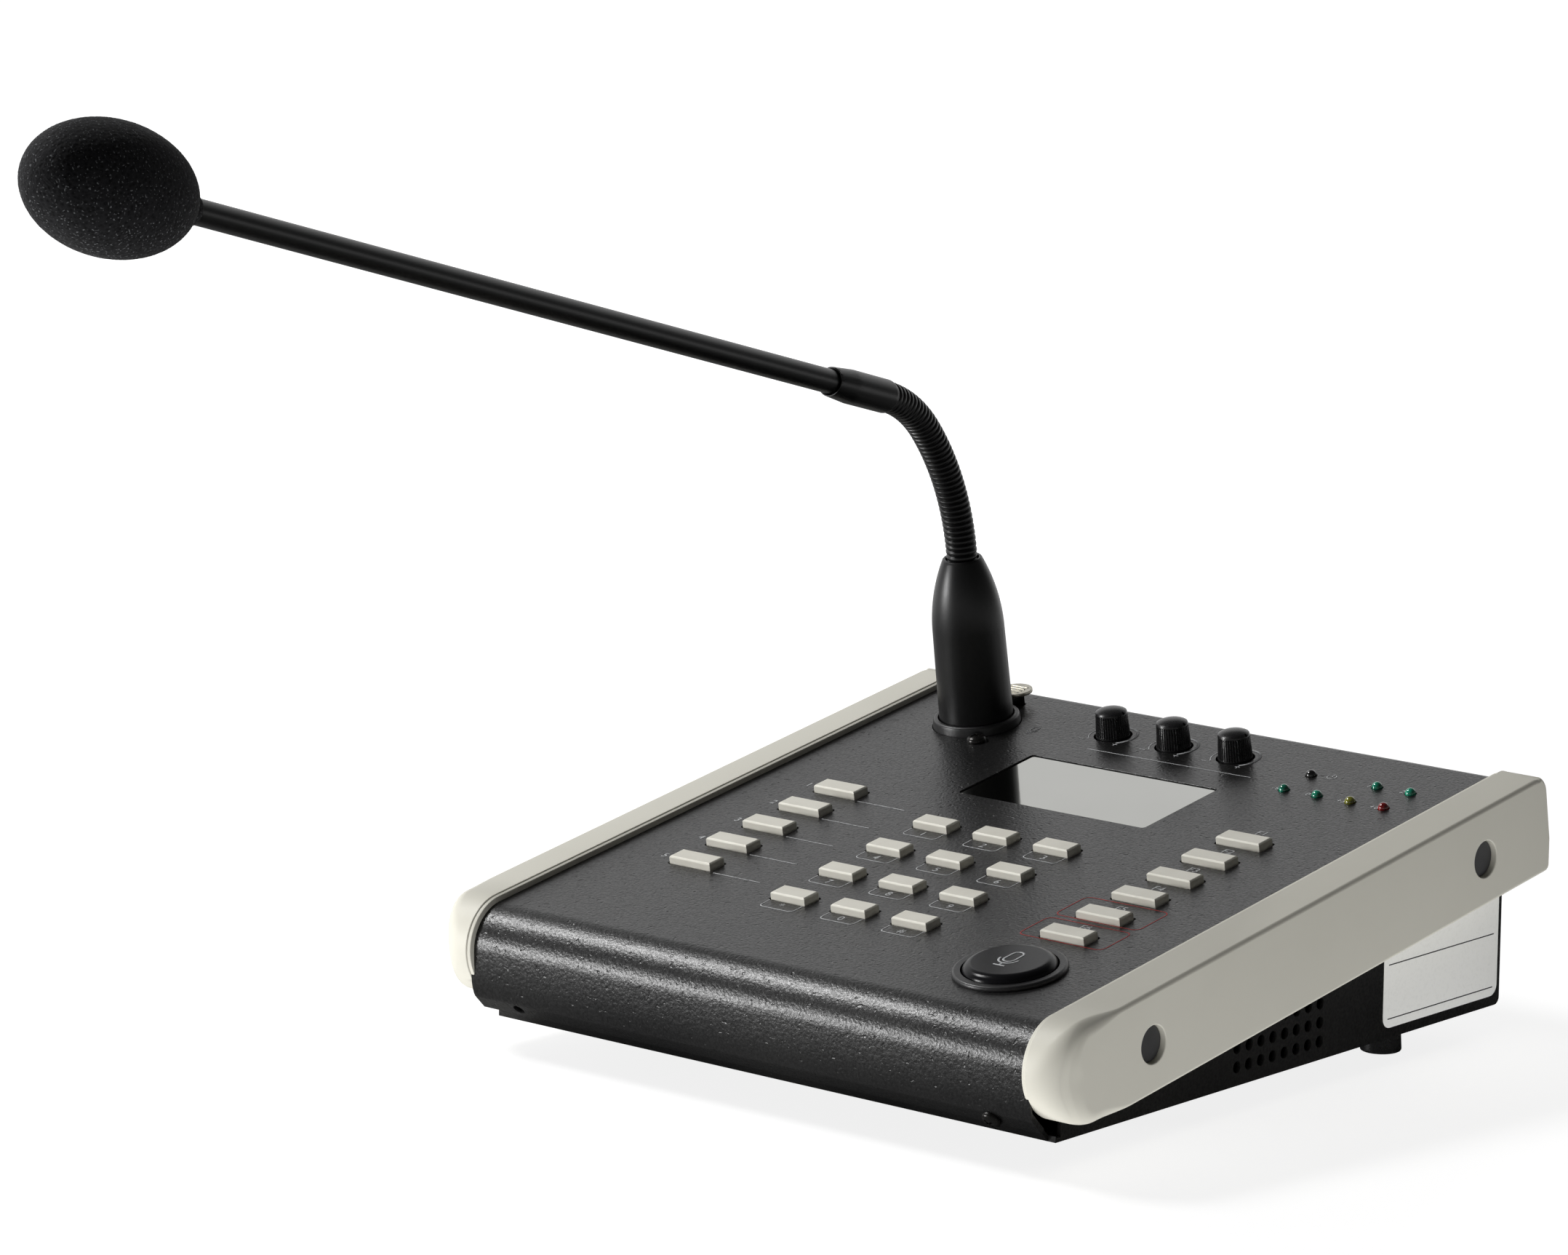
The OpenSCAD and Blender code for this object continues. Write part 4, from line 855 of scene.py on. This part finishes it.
matt = {"finish": "blackPlastic", "slot": "black_plastic"}
satin = {"finish": "satinBlack", "slot": "satin_black"}
fittings = {
    "talk_bezel": {"name": "talkBezel", "edge": 0.15, "finish": "blackPlastic", "slot": "gloss_black"},
    "talk_button": {"name": "talkCap", "edge": 0.14, "finish": "talkCap", "slot": "gloss_black",
                    "limit": 14, "angle": 13, "shape": clearFoot},
    "display_window": {"name": "displayWindow", "edge": 0.35, "finish": "windowGlass", "slot": "window_glass",
                       "limit": 60},
    "led_green": {"name": "greenLamps", "finish": "lampGreen", "slot": "lamp_green"},
    "led_yellow": {"name": "yellowLamp", "finish": "lampYellow", "slot": "lamp_yellow"},
    "led_red": {"name": "redLamp", "finish": "lampRed", "slot": "lamp_red"},
    "led_power": {"name": "darkLamp", "finish": "lampDark", "slot": "lamp_dark"},
    "mic_socket": {"name": "socketRing", "edge": 0.25, **matt},
    "mic_barrel": {"name": "micBarrel", "edge": 0.3, **satin},
    "gooseneck_collar": {"name": "neckCollar", "edge": 0.12, **satin},
    "gooseneck_rod": {"name": "micRod", "edge": 0.12, **satin},
    "line_socket": {"name": "lineSocket", "edge": 0.2, **matt},
    "power_inlet": {"name": "powerInlet", "edge": 0.2, **matt},
}
dressAll(fittings)
print("fittings dressed")


# volume knobs

knob = {"x": -1.75, "v": 170.9, "pitch": 20.65, "sides": 160, "flutes": 40, "deep": 0.955,
        "rings": [(4.55, -0.6), (4.7, -0.45), (4.7, 0.3), (4.69, 0.45), (4.36, 6.2), (4.35, 6.35), (4.3, 6.75),
                  (4.2, 6.98), (4.02, 7.12), (3.4, 7.42), (2.5, 7.73), (1.3, 7.94), (0, 8.0)],
        "notch": (1.1, 0.7, 1.1), "notchAt": (4.3, 7.1), "angle": 28}
knobs = [knob["x"] + k * knob["pitch"] for k in (-1, 0, 1)]


def makeKnobs():
    body = turnRings(knob["rings"], knob["sides"])
    low, high = knob["rings"][3][1] * mm, knob["rings"][4][1] * mm
    share = knob["sides"] // knob["flutes"]
    for vertex in body.data.vertices:  # every other pair of points sinks into a flute
        turn = round(math.atan2(vertex.co.y, vertex.co.x) / (2 * math.pi) * knob["sides"]) % share
        vertex.select = low - 1e-6 < vertex.co.z < high + 1e-6 and turn in (0, 1)
    for part in (*body.data.edges, *body.data.polygons):
        part.select = False
    setMode("EDIT")
    bpy.ops.mesh.select_mode(type="VERT")
    bpy.ops.transform.resize(value=(knob["deep"], knob["deep"], 1), center_override=(0, 0, 0))
    setMode("OBJECT")
    out, lift = knob["notchAt"]
    for side in (-1, 1):
        cutBy(body, addBlock(knob["notch"], (side * out, 0, lift)))
    smoothBody(body, knob["angle"])
    for k, x in enumerate(knobs, 1):
        one = copyOf(body)
        settle(one, onPanel(x, knob["v"]))
        node = "volume_knob_%d" % k
        finishPiece(one, "volumeKnob%d" % k, "knobBlack", bodyOf(node), [node])
    dropBody(body)


makeKnobs()
print("knobs made")


# screws and latch

screw = {"rings": [(2.7, 0.0), (2.7, 0.55), (2.62, 0.95), (2.35, 1.32), (1.85, 1.62), (1.2, 1.82), (0.5, 1.9),
                   (0, 1.9)],
         "shank": [(1.5, -6.0), (1.5, 0.1)], "sides": (48, 32), "cross": (0.62, 3.0, 1.5), "edge": 0.06,
         "limit": 40, "angle": 35, "x": 78.5, "rearY": 95, "rearDown": 2.7, "proud": 1.5,
         "onSocket": ((9.5, -12), (-9.5, 12)), "turns": (0.5, 0.7)}
flange = {"start": 6.4, "back": 0.7, "sheet": 1.5, "bendR": 3, "gap": 0.3}  # the tray's slant, as in the solids


def frontScrewAt():  # how far down the slant the front screw sits
    frontY = flange["back"] - (end["tall"] / 2 - end["rim"])
    bend = (flange["bendR"] - flange["sheet"]) * math.tan(math.radians(22.5))
    slant = -(frontY + flange["sheet"]) * math.sqrt(2) - bend - flange["gap"]
    return (flange["start"] + slant) / 2 - flange["gap"]


def makeScrews():
    head = turnRings(screw["rings"], screw["sides"][0])
    wide, span, deep = screw["cross"]
    for size in ((wide, span, deep), (span, wide, deep)):
        cutBy(head, addBlock(size, (0, 0, screw["rings"][-1][1])))
    whole = joinAll([head, turnRings(screw["shank"], screw["sides"][1])])
    bevelEdges(whole, screw["edge"], screw["limit"])
    smoothBody(whole, screw["angle"])
    reach = frontScrewAt() * math.sqrt(0.5)
    facing = Matrix.Rotation(math.radians(135), 4, "X") @ shift(0, 0, screw["proud"])
    places = [caseFrame @ shift(screw["x"], -reach, reach) @ facing]
    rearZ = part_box("cover_screws")[1].z / mm - screw["rearDown"]
    for x in (-screw["x"], screw["x"]):
        places.append(shift(x, screw["rearY"], rearZ) @ Matrix.Rotation(-math.pi / 2, 4, "X"))
    places += [onPanel(socketX + x, socketV + v) for x, v in screw["onSocket"]]
    screws, (first, more) = [], screw["turns"]
    for k, place in enumerate(places):
        screws.append(copyOf(whole))
        settle(screws[k], place @ Matrix.Rotation(first + more * k, 4, "Z"))
    cover, socket = joinAll(screws[:3]), joinAll(screws[3:])
    finishPiece(cover, "coverScrews", "blackScrew", "console", ["cover_screws"])
    finishPiece(socket, "socketScrews", "blackScrew", "console", ["socket_screws"])
    dropBody(whole)


latch = {"edge": 0.2, "back": 17.4, "ridges": 4, "gap": 1.5, "size": (5.6, 0.5, 0.3), "top": 4.2,
         "ridgeEdge": 0.12, "limit": 30}


def dressLatch():
    pieces = [skinOf("socket_latch", latch["edge"])]
    for k in range(latch["ridges"]):
        ridge = addBlock(latch["size"], (0, (k - (latch["ridges"] - 1) / 2) * latch["gap"], latch["top"]))
        bevelEdges(ridge, latch["ridgeEdge"], latch["limit"])
        settle(ridge, onPanel(socketX, socketV + latch["back"]))
        pieces.append(ridge)
    finishPiece(joinAll(pieces), "latchTab", "latchMetal", bodyOf("socket_latch"), ["socket_latch"])


makeScrews()
dressLatch()
print("screws and latch made")


# gooseneck

neck = {"start": 41.0, "stub": 8.5, "bends": [(72.5, 31.4), (35.0, 33.1)], "pitch": 1.6, "sides": 40,
        "rib": [(3.72, 0.0), (3.78, 0.1), (4.1, 0.22), (4.22, 0.45), (4.25, 0.8), (4.22, 1.15), (4.1, 1.38),
                (3.78, 1.5), (3.72, 1.6)],
        "steps": 140, "weld": 0.00005, "angle": 60, "stiff": 2}


def neckPoint(s):  # up the slope, lift and heading along the middle line
    v, lift, heading = socketV, neck["start"] + min(s, neck["stub"]), math.pi / 2
    s -= neck["stub"]
    for radius, turn in neck["bends"]:
        after = heading + min(max(0, s) / radius, math.radians(turn))
        v += radius * (math.sin(after) - math.sin(heading))
        lift += radius * (math.cos(heading) - math.cos(after))
        heading = after
        s -= radius * math.radians(turn)
    s = max(0, s)
    return v + s * math.cos(heading), lift + s * math.sin(heading), heading


def neckSpot(s):
    v, lift = neckPoint(s)[:2]
    return onPanel(socketX, v, lift).to_translation()


neckLong = 2 * neck["stub"] + sum(r * math.radians(a) for r, a in neck["bends"])
neckEnd = neckLong - neck["stub"]
neckRibs = int(neckLong / neck["pitch"])


def emptyPath():
    bpy.ops.curve.primitive_nurbs_path_add(location=(0, 0, 0))
    line = bpy.context.object
    line.data.dimensions = "3D"
    line.data.splines.clear()
    return line


def makeNeck():
    fit = neckLong / neckRibs / neck["pitch"]
    rib = turnRings([(r, z * fit) for r, z in neck["rib"]], neck["sides"])
    setMode("EDIT")  # one rib is an open ring
    pickMesh("DESELECT")
    setMode("OBJECT")
    for face in rib.data.polygons:
        face.select = len(face.vertices) > 4
    setMode("EDIT")
    bpy.ops.mesh.delete(type="ONLY_FACE")
    setMode("OBJECT")
    rib.rotation_euler = (0, math.pi / 2, 0)  # the curve modifier runs along x
    applyPlace()
    row = rib.modifiers.new("row", "ARRAY")
    row.count = neckRibs
    row.use_relative_offset = False
    row.use_constant_offset = True
    row.constant_offset_displace = (neckLong / neckRibs * mm, 0, 0)
    row.use_merge_vertices = True
    row.merge_threshold = neck["weld"]
    line = emptyPath()
    spline = line.data.splines.new("POLY")
    spline.points.add(neck["steps"])
    for k, point in enumerate(spline.points):
        point.co = (*neckSpot(neckLong * k / neck["steps"]), 1)
    bend = rib.modifiers.new("bend", "CURVE")
    bend.object = line
    bend.deform_axis = "POS_X"
    applyAll(rib)
    setMode("EDIT")
    closeUp()
    smoothBody(rib, neck["angle"])
    dropBody(line)
    finishPiece(rib, "ribbedNeck", "satinBlack", None, ["gooseneck_flex"])
    low, high = neckSpot(neck["stub"] + neck["stiff"]), neckSpot(neckEnd)
    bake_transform(rib)


makeNeck()
print("neck wound:", neckRibs, "ribs")


# foam windscreen

foam = {"reach": 273.0, "wide": 33.0, "long": 51.5, "mouth": 9.6, "neck": [(3.5, -2.6), (3.9, -2.6), (4.5, -1.3)],
        "sides": 72, "rows": 40, "fine": 2, "pore": 0.0005, "deep": 0.00014, "angle": 80, "fill": 0.9}


def makeFoam():
    rings = list(foam["neck"])
    start = math.asin(foam["mouth"] / foam["wide"])
    for k in range(foam["rows"]):
        t = start + (math.pi - start) * k / foam["rows"]
        rings.append((foam["wide"] / 2 * math.sin(t), foam["long"] / 2 * (1 - math.cos(t))))
    rings.append((0, foam["long"]))
    body = turnRings(rings, foam["sides"])
    grow = body.modifiers.new("fine", "SUBSURF")
    grow.levels = grow.render_levels = foam["fine"]
    applyAll(body)
    pores = bpy.data.textures.new("foamPores", "VORONOI")
    pores.noise_scale = foam["pore"]
    swell = body.modifiers.new("pores", "DISPLACE")
    swell.texture = pores
    swell.texture_coords = "LOCAL"
    swell.strength = foam["deep"]
    swell.mid_level = 1.0
    applyAll(body)
    smoothBody(body, foam["angle"])
    v, lift, heading = neckPoint(neckEnd)  # the rod goes straight on from the neck's last bend
    turned = Matrix.Rotation(heading - math.pi / 2, 4, "X")
    settle(body, onPanel(socketX, v, lift) @ turned @ shift(0, 0, foam["reach"]))
    finishPiece(body, "foamWindscreen", "foamSkin", "arm", ["windscreen"])


makeFoam()
print("foam made")


# prints on the panel and the label

ink = {"lift": 0.035, "line": 0.15, "bold": 0.3, "flat": 0.2, "thick": 0.02, "capital": 0.7}


def addLines(name, paths, wide):
    line = emptyPath()
    line.name = name
    for points, closed in paths:
        spline = line.data.splines.new("POLY")
        spline.points.add(len(points) - 1)
        spline.use_cyclic_u = closed
        for point, (x, v) in zip(spline.points, points):
            point.co = (x * mm, v * mm, 0, 1)
    line.data.bevel_depth = wide * mm
    line.data.bevel_resolution = 1
    line.data.use_fill_caps = True
    pickOnly(line)
    bpy.ops.object.convert(target="MESH")
    line = bpy.context.object
    line.scale = (1, 1, ink["flat"])
    applyPlace()
    return line


def arcPoints(x, v, radius, start, stop, steps=10):
    turns = [spin(start + (stop - start) * k / steps) for k in range(steps + 1)]
    return [(x + radius * outX, v + radius * outV) for outX, outV in turns]


def roundBox(x0, x1, v0, v1, r):
    return (arcPoints(x1 - r, v1 - r, r, 0, 90, 4) + arcPoints(x0 + r, v1 - r, r, 90, 180, 4)
            + arcPoints(x0 + r, v0 + r, r, 180, 270, 4) + arcPoints(x1 - r, v0 + r, r, 270, 360, 4))


def addMark(words, x, v, tall):
    bpy.ops.object.text_add(location=(0, 0, 0))
    mark = bpy.context.object
    mark.data.body = words
    mark.data.size = tall / ink["capital"] * mm
    mark.data.align_x = mark.data.align_y = "CENTER"
    mark.data.extrude = ink["thick"] * mm
    bpy.ops.object.convert(target="MESH")
    mark = bpy.context.object
    mark.location = (x * mm, v * mm, 0)
    applyPlace()
    return mark


mic = {"r": 0.17, "top": 0.32, "low": 0.02, "cradle": 1.75, "foot": 1.1, "footDown": 0.48}  # shares of the height


def micSign(x, v, tall):  # a plain microphone sign: a capsule in a cradle
    r = tall * mic["r"]
    low, footV = v - tall * mic["low"], v - tall * mic["footDown"]
    capsule = arcPoints(x, v + tall * mic["top"], r, 0, 180, 8) + arcPoints(x, low, r, 180, 360, 8)
    cradle = arcPoints(x, low, r * mic["cradle"], 180, 360)
    post = [(x, low - r * mic["cradle"]), (x, footV)]
    foot = [(x - r * mic["foot"], footV), (x + r * mic["foot"], footV)]
    return [(capsule, True), (cradle, False), (post, False), (foot, False)]


digits = {"signs": "123456789*0#", "first": (-1, 93.3), "pitch": (20.15, 19.37), "side": 5.5, "down": 3.5,
          "corner": (4.2, 6.7, 1.3), "markDown": 5.75, "tall": 2.4}
lines = {"count": 5, "first": 103, "pitch": 14.8, "rule": (-53.3, -37.2), "down": 3.6, "markX": -73.8, "up": 0.8,
         "tall": 2.4}
functions = {"first": 118.9, "pitch": 14.72, "x": 60.3, "up": (8, 8, 8, 8, 7, 7), "tall": 2.6}
volume = {"rule": [(-22.2, 159.3), (32.0, 160.1)],  # then a minus and a plus beside each knob
          "strokes": [((-7.4, 165.4), (-5.6, 165.4)), ((4.2, 165.2), (5.8, 165.2)), ((5.0, 164.4), (5.0, 166.0))],
          "scaleR": 6.7, "from": 225, "turn": 45, "parts": 6, "thin": 0.16, "wider": 0.07}
lampMarks = {"tall": 1.9, "marks": [("-6", 43.0, 156.4), ("0", 53.6, 156.2), ("+3", 64.6, 155.9),
                                    ("+6", 75.3, 155.8), ("1", 64.7, 168.2), ("2", 75.4, 168.5)]}
signs = {"power": (51.5, 169.8, 1.3, 120, 420, 14), "powerStroke": [(51.5, 169.9), (51.5, 171.5)],
         "mic": (-45.1, 164.8, 5.0), "talk": (61.4, 20.9, 9.5), "talkTop": 3.0,
         "red": [(47.0, 73.6, 56.6, 70.2, 2), (47.0, 73.7, 41.5, 54.5, 2)]}


def keyPrints(paths, marks):
    side, down = digits["side"], digits["down"]
    inward, low, r = digits["corner"]
    for k, sign in enumerate(digits["signs"]):
        x = digits["first"][0] + (k % 3 - 1) * digits["pitch"][0]
        v = digits["first"][1] - (k // 3) * digits["pitch"][1]
        paths.append(([(x - side, v - down)] + arcPoints(x - inward, v - low, r, 180, 270, 4)
                      + arcPoints(x + inward, v - low, r, 270, 360, 4) + [(x + side, v - down)], False))
        marks.append(addMark(sign, x, v - digits["markDown"], digits["tall"]))
    for k in range(lines["count"]):
        v = lines["first"] - k * lines["pitch"]
        paths.append(([(x, v - lines["down"]) for x in lines["rule"]], False))
        marks.append(addMark(str(k + 1), lines["markX"], v + lines["up"], lines["tall"]))
    for k, up in enumerate(functions["up"]):
        v = functions["first"] - k * functions["pitch"]
        marks.append(addMark("F%d" % (k + 1), functions["x"], v + up, functions["tall"]))


def volumeScales():  # wider towards the loud end
    arcs = []
    for x in knobs:
        for part in range(volume["parts"]):
            turn = volume["from"] - part * volume["turn"]
            path = arcPoints(x, knob["v"], volume["scaleR"], turn, turn - volume["turn"], 6)
            arcs.append(addLines("scale", [(path, False)], volume["thin"] + volume["wider"] * part))
    return arcs


def layPrint(body, name, finish, rides, lift=0.0):
    settle(body, onPanel(0, 0, lift + ink["lift"]))
    finishPiece(body, name, finish, rides)


def makePrints():
    paths, marks = [], []
    keyPrints(paths, marks)
    paths.append((volume["rule"], False))
    for x in knobs:
        paths += [([(x + x0, v0), (x + x1, v1)], False) for (x0, v0), (x1, v1) in volume["strokes"]]
    marks += [addMark(*mark, lampMarks["tall"]) for mark in lampMarks["marks"]]
    paths += [(arcPoints(*signs["power"]), False), (signs["powerStroke"], False)]
    paths += micSign(*signs["mic"])
    whole = joinAll([addLines("panelLines", paths, ink["line"])] + volumeScales() + marks)
    layPrint(whole, "panelPrint", "whiteInk", "console")
    red = addLines("redFrames", [(roundBox(*box), True) for box in signs["red"]], ink["line"])
    layPrint(red, "redFrames", "redInk", "console")
    talk = addLines("talkSign", micSign(*signs["talk"]), ink["bold"])
    layPrint(talk, "talkSign", "whiteInk", bodyOf("talk_button"), signs["talkTop"])


label = {"y": (136.0, 187.0), "z": (2.8, 33.0), "x": 92.5, "round": 3.0, "thick": 0.12, "rules": (5.2, 19.6),
         "margin": 2, "line": 0.16}


def makeLabel():
    (y0, y1), (z0, z1) = label["y"], label["z"]
    midY, midZ = (y0 + y1) / 2, (z0 + z1) / 2
    bpy.ops.mesh.primitive_plane_add(size=1)
    sheet = bpy.context.object
    sheet.scale = ((y1 - y0) * mm, (z1 - z0) * mm, 1)
    applyPlace()
    setMode("EDIT")
    pickMesh()
    bpy.ops.mesh.bevel(offset=label["round"] * mm, segments=6, affect="VERTICES")
    pickMesh()
    bpy.ops.mesh.extrude_region_move(TRANSFORM_OT_translate={"value": (0, 0, label["thick"] * mm)})
    faceOut()
    facing = Matrix(((0, 0, 1, 0), (1, 0, 0, 0), (0, 1, 0, 0), (0, 0, 0, 1)))
    wall = caseFrame @ shift(label["x"], midY, midZ) @ facing
    half = (y1 - y0) / 2 - label["margin"]
    paths = [([(-half, z - midZ), (half, z - midZ)], False) for z in label["rules"]]
    rules = addLines("labelRules", paths, label["line"])
    settle(sheet, wall)
    settle(rules, wall @ shift(0, 0, label["thick"]))
    finishPiece(sheet, "wallLabel", "labelPaper", "console")
    finishPiece(rules, "labelRules", "labelInk", "console")


makePrints()
makeLabel()
print("prints and label laid")


# pieces that stay as packed, inside the case

inside = {"key_board": "circuitBoard", "main_board": "circuitBoard", "key_switches": "blackPlastic",
          "board_pillars": "pillarBrass", "board_screws": "screwSteel", "end_panel_screws": "screwSteel",
          "display_module": "displayBody", "potentiometers": "blackPlastic", "mic_capsule": "capsuleMetal"}


def paintInside():
    for node, finish in inside.items():
        skins = frame["nodes"][node].data.materials
        skins.clear()
        skins.append(finishes[finish])


paintInside()
print("inside painted")
